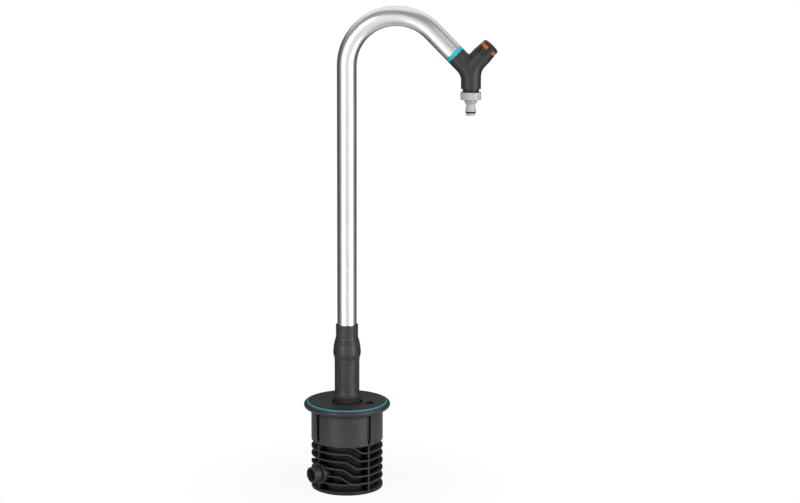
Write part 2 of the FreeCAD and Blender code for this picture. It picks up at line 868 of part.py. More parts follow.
def make_foot_tube():
    bottom = foot_socket_floor
    inner = plug_neck_radius + part_gap
    flare_bottom = disc_top + part_gap
    flare_wall_top = flare_bottom + foot_flare_wall
    flare_top = flare_wall_top + foot_flare_rise
    neck_top = collar_bottom + foot_neck_length
    corners = [
        Vector(inner, 0, bottom),
        Vector(foot_lower_radius, 0, bottom),
        Vector(foot_lower_radius, 0, flare_bottom),
        Vector(foot_flare_radius - foot_flare_undercut, 0, flare_bottom),
        Vector(foot_flare_radius, 0, flare_wall_top),
        Vector(foot_radius, 0, flare_top),
        Vector(foot_radius, 0, collar_bottom - foot_mouth_height),
        Vector(foot_mouth_radius, 0, collar_bottom),
        Vector(foot_neck_radius, 0, collar_bottom),
        Vector(foot_neck_radius, 0, neck_top),
        Vector(foot_chamber_radius, 0, neck_top),
        Vector(foot_chamber_radius, 0, foot_shoulder),
        Vector(inner, 0, foot_shoulder),
    ]
    flare_width = foot_flare_radius - foot_radius
    sweep_radius = (flare_width ** 2 + foot_flare_rise ** 2) / (2 * flare_width)
    middle = math.asin(foot_flare_rise / sweep_radius) / 2
    hollow = Vector(foot_radius + sweep_radius * (1 - math.cos(middle)), 0,
                    flare_top - sweep_radius * math.sin(middle))
    edges = [Part.Arc(corners[4], hollow, corners[5]).toShape()]
    for start, end in zip(corners, corners[1:] + corners[:1]):
        if start != corners[4]:
            edges.append(Part.LineSegment(start, end).toShape())
    outline = Part.Wire(Part.__sortEdges__(edges))
    tube_body = Part.Face(outline).revolve(Vector(), vertical, 360)
    lugs = []
    for azimuth in (0, 180):
        lugs.append(sector(lug_radius, foot_lower_radius - overshoot, lug_bottom, lug_bottom + lug_thickness,
                           azimuth - lug_angle / 2, lug_angle))
    return joined(tube_body, *lugs)


def shoulder_radius(place):
    """Radius of the collar's upper cone at a place above the collar's bottom."""
    share = (place - collar_shoulder_place) / (collar_height - collar_shoulder_place)
    return collar_shoulder_radius + (collar_top_radius - collar_shoulder_radius) * share


def make_swivel_collar():
    neck_top = collar_top + neck_length
    socket_top = collar_bottom + foot_neck_length + part_gap
    pipe_hole = pipe_radius + part_gap
    low = collar_seam_place - collar_seam_width / 2
    high = collar_seam_place + collar_seam_width / 2
    return turned([
        (foot_neck_radius, collar_bottom),
        (collar_mouth_radius, collar_bottom),
        (collar_belly_radius, collar_bottom + collar_belly_start),
        (collar_belly_radius, collar_bottom + collar_belly_end),
        (collar_shoulder_radius, collar_bottom + collar_shoulder_place),
        (shoulder_radius(low), collar_bottom + low),
        (shoulder_radius(low) - collar_seam_depth, collar_bottom + low),
        (shoulder_radius(high) - collar_seam_depth, collar_bottom + high),
        (shoulder_radius(high), collar_bottom + high),
        (collar_top_radius, collar_top),
        (pipe_hole + neck_wall, collar_top),
        (pipe_hole + neck_wall, neck_top),
        (pipe_hole, neck_top),
        (pipe_hole, socket_top),
        (foot_neck_radius, socket_top),
    ])


# Clamp nut and ring

def make_clamp_nut():
    pipe_hole = pipe_radius + part_gap
    neck_radius = pipe_hole + neck_wall + running_gap
    lip = nut_top - nut_lip
    nut = turned([
        (neck_radius, nut_bottom),
        (nut_skirt_radius, nut_bottom),
        (nut_radius, nut_bottom + nut_skirt_height),
        (nut_radius, nut_top),
        (pipe_hole, nut_top),
        (pipe_hole, lip),
        (neck_radius, lip),
    ])
    grip_angle = math.degrees(nut_grip_width / nut_radius)
    for index in range(nut_grip_count):
        pocket = sector(nut_radius + overshoot, nut_radius - nut_grip_depth, nut_bottom + nut_grip_start,
                        nut_top - nut_grip_margin, 360 * index / nut_grip_count, grip_angle)
        nut = nut.cut(pocket)
    return nut


def make_clamp_ring():
    bottom = collar_top + neck_length + part_gap
    top = nut_top - nut_lip - part_gap
    ring = turned([
        (pipe_radius, bottom),
        (pipe_radius + clamp_ring_edge_width, bottom),
        (pipe_radius + clamp_ring_width, (bottom + top) / 2),
        (pipe_radius + clamp_ring_edge_width, top),
        (pipe_radius, top),
    ])
    return ring.cut(bar(0, 2 * pipe_radius, clamp_ring_split, bottom, top, 180))


# Pipe

def make_bent_pipe():
    start = Vector(0, 0, pipe_bottom)
    bend_start = Vector(0, 0, bend_centre_height)
    middle = math.radians(bend_angle / 2)
    bend_middle = Vector(bend_radius - bend_radius * math.cos(middle), 0,
                         bend_centre_height + bend_radius * math.sin(middle))
    end = bend_end + spout_direction * spout_straight
    path = Part.Wire([
        Part.LineSegment(start, bend_start).toShape(),
        Part.Arc(bend_start, bend_middle, bend_end).toShape(),
        Part.LineSegment(bend_end, end).toShape(),
    ])
    outer = path.makePipeShell([Part.Wire(Part.makeCircle(pipe_radius, start))], True, False)
    inner = path.makePipeShell([Part.Wire(Part.makeCircle(pipe_inner_radius, start))], True, False)
    pipe = outer.cut(inner)
    length = bend_centre_height - pipe_bottom + bend_radius * math.radians(bend_angle) + spout_straight
    section = math.pi * (pipe_radius ** 2 - pipe_inner_radius ** 2)
    print("pipe volume over section times length", round(pipe.Volume / (section * length), 4))
    return pipe


def make_pipe_end_sleeve():
    outer = foot_chamber_radius - running_gap
    top = collar_bottom + foot_neck_length
    sleeve = tube(outer, pipe_radius, pipe_bottom - sleeve_lip, top)
    lip = tube(pipe_radius, pipe_inner_radius, pipe_bottom - sleeve_lip, pipe_bottom)
    sleeve = joined(sleeve, lip)
    floor = foot_chamber_radius - seal_gap - 2 * sleeve_ring_section
    for height in sleeve_ring_heights:
        sleeve = sleeve.cut(tube(outer + overshoot, floor, height - sleeve_ring_section - seal_gap,
                                 height + sleeve_ring_section + seal_gap))
    return sleeve


def make_pipe_o_rings():
    centre = foot_chamber_radius - seal_gap - sleeve_ring_section
    rings = [o_ring(centre, sleeve_ring_section, height) for height in sleeve_ring_heights]
    return Part.makeCompound(rings)


# Valve body

def on_inlet_arm(shape):
    return along(shape, junction, spout_direction * -1)


def on_knob_arm(shape):
    return along(shape, knob_root, knob_direction)


def make_pipe_trim_ring():
    ring = tube(pipe_radius + trim_proud, pipe_inner_radius - spigot_gap,
                inlet_arm_length, inlet_arm_length + trim_width)
    return on_inlet_arm(ring)


def bent_arm_half(root, lean, arm_length, edge_shift):
    """Outlet, blend and one arm leaning to -X, kept on its own side of the notch between the arms."""
    bend = arm_blend_radius + arm_radius
    reach = bend * math.tan(lean / 2)
    turn = Vector(root.x, 0, root.z - reach)
    arm = Vector(-math.sin(lean), 0, math.cos(lean))
    upright = Part.makeCylinder(arm_radius, turn.z - outlet_bottom, Vector(root.x, 0, outlet_bottom))
    ring = Part.Face(Part.Wire(Part.makeCircle(arm_radius, turn)))
    elbow = ring.revolve(turn + Vector(-bend, 0, 0), Vector(0, -1, 0), math.degrees(lean))
    straight = Part.makeCylinder(arm_radius, arm_length - reach, root + arm * reach, arm)
    size = 4 * arm_length
    half = Part.makeBox(size, size, 2 * size, Vector(root.x + edge_shift - size, -size / 2, root.z - size))
    return joined(upright.common(half), elbow.common(half), straight.common(half))


def make_valve_body():
    inlet_slope = math.tan(spout_fall)
    knob_slope = math.tan(knob_fall)
    notch = -knob_axis_rise * inlet_slope * knob_slope / (inlet_slope + knob_slope)
    left = bent_arm_half(junction, spout_fall, inlet_arm_length, notch)
    right = bent_arm_half(knob_root, knob_fall, knob_arm_length, -notch).mirror(junction, Vector(1, 0, 0))
    spigot_radius = pipe_inner_radius - spigot_gap
    spigot_end = inlet_arm_length + trim_width + spigot_insert
    spigot = on_inlet_arm(tube(spigot_radius, 0, inlet_arm_length - overshoot, spigot_end))
    body = joined(left, right, spigot)
    socket_top = outlet_bottom + outlet_socket_depth
    drop_top = knob_root + knob_direction * drop_way_place
    drop = tube(drop_way_radius, 0, socket_top - overshoot, drop_top.z)
    drop.translate(Vector(drop_top.x, 0, 0))
    way_top = socket_top + outlet_socket_step
    thread_way = under_outlet(tube(thread_bore_radius, 0, socket_top - overshoot, way_top))
    socket = under_outlet(tube(thread_radius, 0, outlet_bottom, socket_top))
    groove = tube(spigot_radius + overshoot, spigot_radius - 2 * spigot_ring_section,
                  spigot_ring_place - spigot_ring_section, spigot_ring_place + spigot_ring_section)
    cuts = [
        on_inlet_arm(tube(inlet_way_radius, 0, inlet_way_stop, spigot_end)),
        on_knob_arm(port_hole(-inlet_way_radius / 2, disc_seat, 0)),
        on_knob_arm(tube(cartridge_radius, 0, disc_seat, knob_arm_length)),
        drop,
        thread_way,
        socket,
        on_inlet_arm(groove),
    ]
    for cut in cuts:
        body = body.cut(cut)
    return body


def make_body_o_ring():
    spigot_radius = pipe_inner_radius - spigot_gap
    return on_inlet_arm(o_ring(spigot_radius - spigot_ring_section, spigot_ring_section, spigot_ring_place))


# Disc valve

def port_hole(start, end, turn):
    """A hole beside the knob's axis; turn 0 puts it over the inlet's way, 180 over the drop."""
    hole = tube(seat_port_radius, 0, start, end)
    hole.translate(Vector(-seat_port_offset, 0, 0))
    hole.rotate(Vector(), vertical, turn)
    return hole


def make_fixed_disc():
    start = disc_seat
    end = disc_seat + valve_disc_thickness
    disc = tube(cartridge_radius, 0, start, end)
    for turn in (0, 180):
        disc = disc.cut(port_hole(start, end, turn))
    return on_knob_arm(disc)


def make_turning_disc():
    start = disc_seat + valve_disc_thickness
    end = start + valve_disc_thickness
    disc = tube(turning_disc_radius, 0, start, end)
    for turn in (90, 270):
        disc = disc.cut(port_hole(start, end, turn))
    return on_knob_arm(disc)


def make_bonnet():
    bonnet = tube(cartridge_radius, spindle_radius + running_gap, bonnet_start, knob_arm_length)
    groove = tube(cartridge_radius + overshoot, cartridge_radius - 2 * bonnet_ring_section,
                  bonnet_ring_place - bonnet_ring_section, bonnet_ring_place + bonnet_ring_section)
    return on_knob_arm(bonnet.cut(groove))


def make_bonnet_o_ring():
    return on_knob_arm(o_ring(cartridge_radius - bonnet_ring_section, bonnet_ring_section, bonnet_ring_place))


def make_spindle():
    collar_bottom_place = spindle_blade_start + (bonnet_start - spindle_blade_start) / 2
    collar_top_place = bonnet_start - part_gap
    blade = Part.makeBox(spindle_blade_length, spindle_blade_width, collar_bottom_place - spindle_blade_start,
                         Vector(-spindle_blade_length / 2, -spindle_blade_width / 2, spindle_blade_start))
    collar = tube(spindle_collar_radius, 0, collar_bottom_place, collar_top_place)
    shaft = tube(spindle_radius, 0, collar_top_place, spindle_shoulder)
    tip = tube(spindle_tip_radius, 0, spindle_shoulder, spindle_tip)
    spindle = joined(blade, collar, shaft, tip)
    for place in spindle_ring_places:
        spindle = spindle.cut(tube(spindle_radius + overshoot, spindle_radius - 2 * spindle_ring_section,
                                   place - spindle_ring_section, place + spindle_ring_section))
    spindle = spindle.cut(tube(knob_screw_radius, 0, spindle_tip - knob_screw_length, spindle_tip))
    return on_knob_arm(spindle)


def make_spindle_o_rings():
    centre = spindle_radius - spindle_ring_section
    rings = [o_ring(centre, spindle_ring_section, place) for place in spindle_ring_places]
    return on_knob_arm(Part.makeCompound(rings))


# Knob

def knob_cone_radius(place):
    """Outer radius of the tapered knob at a place along its axis."""
    share = (place - knob_arm_length) / (knob_end - knob_arm_length)
    return knob_radius + (knob_end_radius - knob_radius) * share


def knob_cone(start, end):
    return Part.makeCone(knob_cone_radius(start), knob_cone_radius(end), end - start, Vector(0, 0, start))


def make_knob_sleeve():
    start = knob_arm_length + part_gap
    shell = knob_cone(start, knob_cap_start).cut(tube(knob_bore_radius, 0, start, knob_cap_start))
    web = tube(knob_bore_radius + overshoot, spindle_tip_radius, spindle_tip - knob_web_thickness, spindle_tip)
    sleeve = joined(shell, web)
    for index in range(window_count):
        middle = window_azimuth + 360 * index / window_count
        window = sector(knob_radius + overshoot, knob_bore_radius - overshoot, window_start, window_end,
                        middle - window_angle / 2, window_angle)
        sleeve = sleeve.cut(window)
    return on_knob_arm(sleeve)


def make_knob_marker():
    low = window_start + marker_gap
    high = window_end - marker_gap
    ring = tube(knob_bore_radius, knob_bore_radius - marker_wall, low, high)
    pads = []
    for index in range(window_count):
        middle = window_azimuth + 360 * index / window_count
        pads.append(sector(knob_cone_radius(window_end) - marker_sink, knob_bore_radius - overshoot, low, high,
                           middle - marker_pad_angle / 2, marker_pad_angle))
    return on_knob_arm(joined(ring, *pads))


def make_knob_cap():
    lid = knob_cone(knob_cap_start, knob_end)
    rim = [edge for edge in lid.Edges if abs(edge.BoundBox.ZMin - knob_end) < 0.01
           and edge.BoundBox.ZLength < 0.01]
    lid = lid.makeFillet(knob_cap_round, rim)
    plug = tube(knob_bore_radius, 0, knob_cap_start - knob_cap_plug, knob_cap_start)
    return on_knob_arm(joined(lid, plug))


def make_knob_screw():
    shank = tube(knob_screw_radius, 0, spindle_tip - knob_screw_length, spindle_tip)
    head = tube(knob_screw_head_radius, 0, spindle_tip, spindle_tip + knob_screw_head_height)
    return on_knob_arm(joined(shank, head))


# Outlet

def under_outlet(shape):
    placed = shape.copy()
    placed.translate(Vector(junction.x, 0, 0))
    return placed


def make_outlet_spigot():
    spigot = tube(thread_radius, thread_bore_radius, thread_bottom, outlet_bottom + outlet_socket_depth)
    for index in range(thread_count):
        height = thread_bottom + thread_pitch * (index + 1)
        groove = turned([
            (thread_radius + seal_gap, height - thread_pitch / 3),
            (thread_radius - thread_depth, height),
            (thread_radius + seal_gap, height + thread_pitch / 3),
        ])
        spigot = spigot.cut(groove)
    return under_outlet(spigot)


def make_hose_connector():
    bottom = connector_nut_bottom
    nut_top_height = bottom + connector_nut_height
    groove_low = connector_ring_height - connector_ring_section
    groove_high = connector_ring_height + connector_ring_section
    groove_floor = connector_ring_radius - 2 * connector_ring_section
    tip = bottom - connector_tip_end
    body = turned([
        (connector_bore_radius, tip),
        (connector_tip_radius - connector_tip_chamfer, tip),
        (connector_tip_radius, tip + connector_tip_chamfer),
        (connector_tip_radius, groove_low),
        (groove_floor, groove_low),
        (groove_floor, groove_high),
        (connector_tip_radius + seal_gap, groove_high),
        (connector_tip_radius + connector_barrel_step, bottom - connector_collar_end),
        (connector_collar_radius, bottom - connector_collar_end),
        (connector_collar_radius, bottom - connector_collar_start),
        (connector_neck_radius, bottom - connector_neck_end),
        (connector_neck_radius, bottom - connector_neck_start),
        (connector_shoulder_radius - connector_shoulder_taper, bottom - connector_shoulder_end),
        (connector_shoulder_radius, bottom),
        (connector_nut_radius, bottom),
        (connector_nut_radius, nut_top_height),
        (thread_radius + running_gap, nut_top_height),
        (thread_radius + running_gap, bottom + connector_floor),
        (connector_bore_radius, bottom + connector_floor),
    ])
    for index in range(connector_grip_count):
        flute = sector(connector_nut_radius + overshoot, connector_nut_radius - connector_grip_depth,
                       bottom, nut_top_height - connector_floor, 360 * index / connector_grip_count,
                       math.degrees(connector_grip_width / connector_nut_radius))
        body = body.cut(flute)
    return under_outlet(body)


def make_connector_gasket():
    bottom = connector_nut_bottom + connector_floor
    return under_outlet(tube(thread_radius, gasket_bore_radius, bottom, thread_bottom))


def make_connector_o_ring():
    centre = connector_ring_radius - connector_ring_section
    return under_outlet(o_ring(centre, connector_ring_section, connector_ring_height))


os.makedirs("parts", exist_ok=True)

# Box and everything fixed in it
save("ground_box", make_ground_box())
save("base_plate", make_base_plate())
save("top_flange", make_top_flange())
save("trim_ring", make_trim_ring())
save("cover_disc", make_cover_disc())
save("inlet_nipple", make_inlet_nipple())
save("inlet_o_ring", make_inlet_o_ring())
save("inlet_strainer", make_inlet_strainer())
save("feed_elbow", make_feed_elbow())
save("valve_chamber", make_valve_chamber())
save("chamber_o_ring", make_chamber_o_ring())
save("chamber_seal", make_chamber_seal())
save("plunger_spring", make_plunger_spring())
save("receiver", make_receiver())
save("receiver_screws", make_receiver_screws())

# Stop plunger
save("stop_plunger", make_stop_plunger())
save("plunger_seal", make_plunger_seal())

# Plug, foot and clamp
save("plug_core", make_plug_core())
save("plug_o_rings", make_plug_o_rings())
save("plug_retainer", make_plug_retainer())
save("foot_tube", make_foot_tube())
save("swivel_collar", make_swivel_collar())
save("clamp_nut", make_clamp_nut())

# Pipe with the valve
save("bent_pipe", make_bent_pipe())
save("pipe_end_sleeve", make_pipe_end_sleeve())
save("pipe_o_rings", make_pipe_o_rings())
save("clamp_ring", make_clamp_ring())
save("pipe_trim_ring", make_pipe_trim_ring())
save("valve_body", make_valve_body())
save("body_o_ring", make_body_o_ring())
save("bonnet", make_bonnet())
save("bonnet_o_ring", make_bonnet_o_ring())
save("fixed_disc", make_fixed_disc())
save("outlet_spigot", make_outlet_spigot())
save("hose_connector", make_hose_connector())
save("connector_gasket", make_connector_gasket())
save("connector_o_ring", make_connector_o_ring())

# Knob with its drive
save("knob_sleeve", make_knob_sleeve())
save("knob_marker", make_knob_marker())
save("knob_cap", make_knob_cap())
save("knob_screw", make_knob_screw())
save("spindle", make_spindle())
save("spindle_o_rings", make_spindle_o_rings())
save("turning_disc", make_turning_disc())
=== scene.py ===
# %% [markdown]
# A garden tap, dressed for its portrait.
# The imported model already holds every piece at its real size. This lesson loads it, stands a
# camera and soft studio lights around it, and gives each surface the finish of the real object:
# drawn aluminium, moulded plastic, rubber. Where a CAD solid is too plain for a close look, a
# modelled mesh of the same main sizes takes its place.

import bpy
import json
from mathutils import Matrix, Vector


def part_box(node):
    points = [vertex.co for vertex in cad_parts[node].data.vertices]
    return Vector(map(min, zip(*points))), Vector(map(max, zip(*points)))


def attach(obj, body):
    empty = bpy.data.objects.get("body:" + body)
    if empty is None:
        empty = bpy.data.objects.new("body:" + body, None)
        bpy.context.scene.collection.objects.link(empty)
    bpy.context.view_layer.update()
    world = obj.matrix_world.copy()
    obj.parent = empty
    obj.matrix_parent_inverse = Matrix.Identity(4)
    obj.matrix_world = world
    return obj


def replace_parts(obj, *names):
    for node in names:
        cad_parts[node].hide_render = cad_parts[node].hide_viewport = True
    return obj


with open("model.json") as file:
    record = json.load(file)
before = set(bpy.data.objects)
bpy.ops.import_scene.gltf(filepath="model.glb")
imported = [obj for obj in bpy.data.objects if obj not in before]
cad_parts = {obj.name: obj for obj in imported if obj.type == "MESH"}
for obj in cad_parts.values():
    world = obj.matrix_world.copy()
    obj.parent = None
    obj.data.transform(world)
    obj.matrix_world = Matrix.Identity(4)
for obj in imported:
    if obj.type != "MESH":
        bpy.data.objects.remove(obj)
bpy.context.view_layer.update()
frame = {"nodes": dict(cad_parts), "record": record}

# %% Modules and units
import json
import math

import bmesh
import bpy
import numpy as np
from mathutils import Matrix, Vector

MM = 0.001
scene = bpy.context.scene


def box_of(node):
    """Lowest and highest corner of a CAD node, in millimetres."""
    low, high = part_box(node)
    return low / MM, high / MM


# %% [markdown]
# The camera comes first, because everything else is judged through it. On a real shoot it would
# be a long lens, far away and a little above the flange, so that the upright pipe stays upright
# in the picture. The numbers are a place and a direction in the tap's own frame, where the spout
# points along +X, so the camera looks along +Y turned by a few degrees.

# %% Camera
def put(name, data):
    """A new object of the scene."""
    thing = bpy.data.objects.new(name, data)
    scene.collection.objects.link(thing)
    return thing


VIEW_TURN = math.radians(6.2)
VIEW_PITCH = math.radians(11.07)
VIEW_ROLL = math.radians(0.276)
HALF_PIXEL = 0.5 / 800
camera_spot = Vector((0.0883, -2.911, 0.970))

turn = Matrix.Rotation(VIEW_TURN, 3, "Z")
forward = Vector((0, math.cos(VIEW_PITCH), -math.sin(VIEW_PITCH)))
level_right = Vector((1, 0, 0))
level_up = level_right.cross(forward)
right = level_right * math.cos(VIEW_ROLL) + level_up * math.sin(VIEW_ROLL)
up = level_up * math.cos(VIEW_ROLL) - level_right * math.sin(VIEW_ROLL)

camera_data = bpy.data.cameras.new("camera")
camera_data.lens = 81.0
camera_data.sensor_width = 36.0
camera_data.shift_x = -HALF_PIXEL
camera_data.shift_y = HALF_PIXEL
camera = put("camera", camera_data)
axes = Matrix((turn @ right, turn @ up, turn @ -forward)).transposed()
camera.matrix_world = Matrix.Translation(turn @ camera_spot) @ axes.to_4x4()
scene.camera = camera
print("camera at", [round(value, 3) for value in camera.matrix_world.translation])

# %% [markdown]
# A shader tree is a drawing of sums, and sums read best as sums. The next class wraps one socket
# of the tree, so that `1 - mask` or `height * 0.2` adds the Math node that does it. A second
# class holds the material, or the world, while it is being built: its `node` method makes any
# other node from its type, its settings and what goes into its sockets.


# %% Shader sums
class Wire:
    """One output socket of a shader tree. Arithmetic on it adds Math nodes."""

    def __init__(self, finish, socket):
        self.finish = finish
        self.socket = socket

    def maths(self, operation, *others):
        return self.finish.node("ShaderNodeMath", {"operation": operation}, dict(enumerate((self, *others))))

    def __add__(self, other):
        return self.maths("ADD", other)

    __radd__ = __add__

    def __sub__(self, other):
        return self.maths("SUBTRACT", other)

    def __rsub__(self, other):
        return self.finish.node("ShaderNodeMath", {"operation": "SUBTRACT"}, {0: other, 1: self})

    def __mul__(self, other):
        return self.maths("MULTIPLY", other)

    __rmul__ = __mul__

    def __pow__(self, other):
        return self.maths("POWER", other)

    def __gt__(self, other):
        return self.maths("GREATER_THAN", other)

    def clamped(self):
        return self.maths("MAXIMUM", 0.0).maths("MINIMUM", 1.0)

    def ramp(self, low, high):
        """0 below low, 1 above high, smooth between."""
        sockets = {"Value": self, "From Min": low, "From Max": high}
        return self.finish.node("ShaderNodeMapRange", {"interpolation_type": "SMOOTHSTEP"}, sockets)


print("sums ready")

# %% A material while it is made
# A Mix node has sockets for each kind of value. These are the places of those for colours.
MIX_FIRST, MIX_SECOND, MIX_RESULT = 6, 7, 2


class Finish:
    """A material, or the world, while its tree is being built."""

    def __init__(self, name, shelf=bpy.data.materials):
        self.holder = shelf.new(name)
        self.holder.use_nodes = True
        self.tree = self.holder.node_tree
        self.tree.nodes.clear()

    def node(self, kind, settings=None, sockets=None, output=0):
        """Adds a node: first its settings, then values or links for its sockets. The node that
        ends a tree has no output to give back."""
        made = self.tree.nodes.new(kind)
        for name, value in (settings or {}).items():
            setattr(made, name, value)
        for name, value in (sockets or {}).items():
            if isinstance(value, Wire):
                self.tree.links.new(value.socket, made.inputs[name])
            else:
                made.inputs[name].default_value = value
        return Wire(self, made.outputs[output]) if made.outputs else None

    def mixed(self, factor, first, second):
        """A colour between two colours."""
        sockets = {0: factor, MIX_FIRST: first, MIX_SECOND: second}
        return self.node("ShaderNodeMix", {"data_type": "RGBA"}, sockets, MIX_RESULT)

    def place(self):
        """The point in the tap's own frame: no piece is moved or scaled before it is painted."""
        return self.node("ShaderNodeTexCoord", output=3)

    def parts(self, vector):
        """X, Y and Z of a vector."""
        split = self.node("ShaderNodeSeparateXYZ", {}, {0: vector}).socket.node
        return [Wire(self, socket) for socket in split.outputs]

    def noise(self, vector, scale, detail=2.0, roughness=0.5):
        sockets = {"Vector": vector, "Scale": scale, "Detail": detail, "Roughness": roughness}
        return self.node("ShaderNodeTexNoise", {}, sockets)

    def round_edges(self, radius):
        """A normal that turns smoothly over sharp edges, as a moulded edge does."""
        return self.node("ShaderNodeBevel", {"samples": 4}, {"Radius": radius})

    def bump(self, height, distance, normal=None):
        sockets = {"Height": height, "Distance": distance}
        if normal is not None:
            sockets["Normal"] = normal
        return self.node("ShaderNodeBump", {}, sockets)

    def openness(self, distance):
        """1 on an open face and less where other faces stand close in front of it."""
        return self.node("ShaderNodeAmbientOcclusion", {"samples": 8}, {"Distance": distance}, output="AO")

    def between(self, factor, first, second):
        """A surface between two surfaces."""
        return self.node("ShaderNodeMixShader", {}, {0: factor, 1: first, 2: second})

    def glow(self, level):
        return self.node("ShaderNodeEmission", {}, {"Color": (level, level, level, 1)})

    def principled(self, **sockets):
        """Underscores in the names of the sockets stand for spaces."""
        named = {name.replace("_", " "): value for name, value in sockets.items()}
        return self.node("ShaderNodeBsdfPrincipled", {}, named)

    def ends_in(self, surface, kind="ShaderNodeOutputMaterial"):
        self.node(kind, {}, {"Surface": surface})
        return self.holder


print("shader helpers ready")

# %% [markdown]
# Moulded plastic is never one flat colour. The mould leaves a fine spark-eroded grain, the colour
# drifts a little over a hand's width, the gloss is uneven, and corners that get handled are a
# touch lighter and smoother. The grain goes into the bump, the drift and the lighter corners into
# the colour, and the uneven gloss into the roughness. The corners are found by comparing the
# true normal with one that is rounded over the edge. Their lighter colour is partly wear and
# partly a painted highlight, where edges catch the light. Hollows get painted shade, a darker
# tone in the colour, and between the fins of the box, where hardly any light comes back, the
# black is mixed with a near-black surface as painted shade.


# %% Moulded plastic
COARSE, FINE, POLISHED = 0.00002, 0.00001, 0.000004
GRAIN_SCALE, SPECK_SCALE, CLOUD_SCALE = 1400.0, 330.0, 22.0
MOULD_EDGE = 0.0006
HOLLOW_REACH, FIN_REACH = 0.014, 0.012
# Share of the colour kept in hollows, as painted shade.
HOLLOW_SHADE_FACTOR = 0.25


def tinted(colour, factor=1.0):
    """A colour for a socket, made darker or lighter by a factor."""
    return (*(value * factor for value in colour), 1.0)


def moulded(name, colour, wear_and_highlight, roughness, grain=COARSE, drift=0.15, specular=0.35, painted_fin_shade=False):
    finish = Finish(name)
    place = finish.place()
    fine = finish.noise(place, GRAIN_SCALE)
    cloud = finish.noise(place, CLOUD_SCALE, 3.0, 0.6)
    speck = finish.noise(place, SPECK_SCALE, 2.0, 0.7)
    rounded = finish.round_edges(MOULD_EDGE)
    flat = finish.node("ShaderNodeNewGeometry", output="Normal")
    same = finish.node("ShaderNodeVectorMath", {"operation": "DOT_PRODUCT"}, {0: rounded, 1: flat}, output=1)
    corner = (1.0 - same).ramp(0.01, 0.16) * (0.45 + 0.55 * cloud)
    patches = (cloud * 0.85 + speck * 0.15).ramp(0.32, 0.68)
    tone = finish.mixed(patches, tinted(colour, 1.0 - drift), tinted(colour, 1.0 + drift))
    # Edges are lightened in the colour: partly wear, partly a painted highlight where edges catch the light.
    tone = finish.mixed(corner, tone, tinted(wear_and_highlight))
    # Painted shade: hollows found by ambient occlusion get a darker colour.
    tone = finish.mixed(finish.openness(HOLLOW_REACH).ramp(0.1, 0.7), tinted(colour, HOLLOW_SHADE_FACTOR), tone)
    gloss = roughness - 0.06 * (cloud - 0.5) + 0.05 * (speck - 0.5) - 0.05 * corner
    relief = finish.bump(fine * 0.8 + speck * 0.2, grain, rounded)
    surface = finish.principled(Base_Color=tone, Roughness=gloss, Normal=relief, Specular_IOR_Level=specular)
    # Painted shade: where faces stand close, as between the box's fins, a near-black surface is mixed in.
    if painted_fin_shade:
        shade = finish.principled(Base_Color=(0.002, 0.002, 0.002, 1), Roughness=0.8, Specular_IOR_Level=0.05)
        surface = finish.between(finish.openness(FIN_REACH).ramp(0.45, 0.85), shade, surface)
    return finish.ends_in(surface)


# %% The tap's plastics
# The box gets painted shade between its fins.
box_black = moulded("box_black", (0.036, 0.0363, 0.037), (0.08, 0.081, 0.083), 0.45, specular=0.5, painted_fin_shade=True)
satin_black = moulded("satin_black", (0.034, 0.0343, 0.035), (0.06, 0.061, 0.063), 0.42, FINE, specular=0.42)
knob_black = moulded("knob_black", (0.014, 0.0142, 0.0147), (0.04, 0.041, 0.042), 0.42, FINE, specular=0.4)
valve_black = moulded("valve_black", (0.025, 0.0253, 0.026), (0.05, 0.051, 0.053), 0.46, FINE, specular=0.4)
teal = moulded("teal", (0.022, 0.46, 0.54), (0.05, 0.52, 0.60), 0.38, FINE, drift=0.06)
orange = moulded("orange", (0.60, 0.115, 0.014), (0.70, 0.20, 0.04), 0.42, FINE, drift=0.08)
pale_grey = moulded("pale_grey", (0.48, 0.482, 0.485), (0.58, 0.58, 0.585), 0.38, drift=0.06)
natural = moulded("natural", (0.10, 0.10, 0.10), (0.16, 0.16, 0.16), 0.4, drift=0.05)
white_ceramic = moulded("white_ceramic", (0.75, 0.74, 0.70), (0.8, 0.8, 0.78), 0.12, POLISHED, drift=0.03)
print("plastics ready")

# %% [markdown]
# Rubber rings are duller than plastic and carry a faint mould flash and talc. Here a soft noise
# changes the roughness and greys the black a little, and a coarser bump than on plastic breaks
# the highlight.


# %% Rubber
def rubbery(name):
    finish = Finish(name)
    place = finish.place()
    talc = finish.noise(place, 180.0, 4.0, 0.6)
    grain = finish.noise(place, 2500.0, 2.0)
    tone = finish.mixed(talc.ramp(0.45, 0.7), (0.003, 0.003, 0.0033, 1), (0.012, 0.012, 0.0125, 1))
    relief = finish.bump(grain, 0.00003)
    return finish.ends_in(finish.principled(
        Base_Color=tone, Roughness=0.5 + 0.3 * talc, Normal=relief, Specular_IOR_Level=0.2))


rubber = rubbery("rubber")
print("rubber ready")

# %% [markdown]
# Turned brass and drawn steel are seen only on the bench, when the tap is taken apart. Both get
# fine rings from a wave of noise that is stretched round their axis, and a little tarnish.


# %% Turned metal
def turned_metal(name, colour, tarnish, roughness):
    finish = Finish(name)
    place = finish.place()
    stretched = finish.node("ShaderNodeMapping", {}, {"Vector": place, "Scale": (60.0, 60.0, 3000.0)})
    rings = finish.noise(stretched, 1.0, 2.0)
    stain = finish.noise(place, 90.0, 4.0)
    tone = finish.mixed(stain.ramp(0.45, 0.75), colour, tarnish)
    relief = finish.bump(rings, 0.00002)
    return finish.ends_in(finish.principled(
        Base_Color=tone, Roughness=roughness + 0.2 * stain, Metallic=1.0, Normal=relief))


brass = turned_metal("brass", (0.72, 0.52, 0.22, 1), (0.42, 0.28, 0.12, 1), 0.18)
steel = turned_metal("steel", (0.55, 0.55, 0.56, 1), (0.35, 0.34, 0.33, 1), 0.2)
print("metals ready")

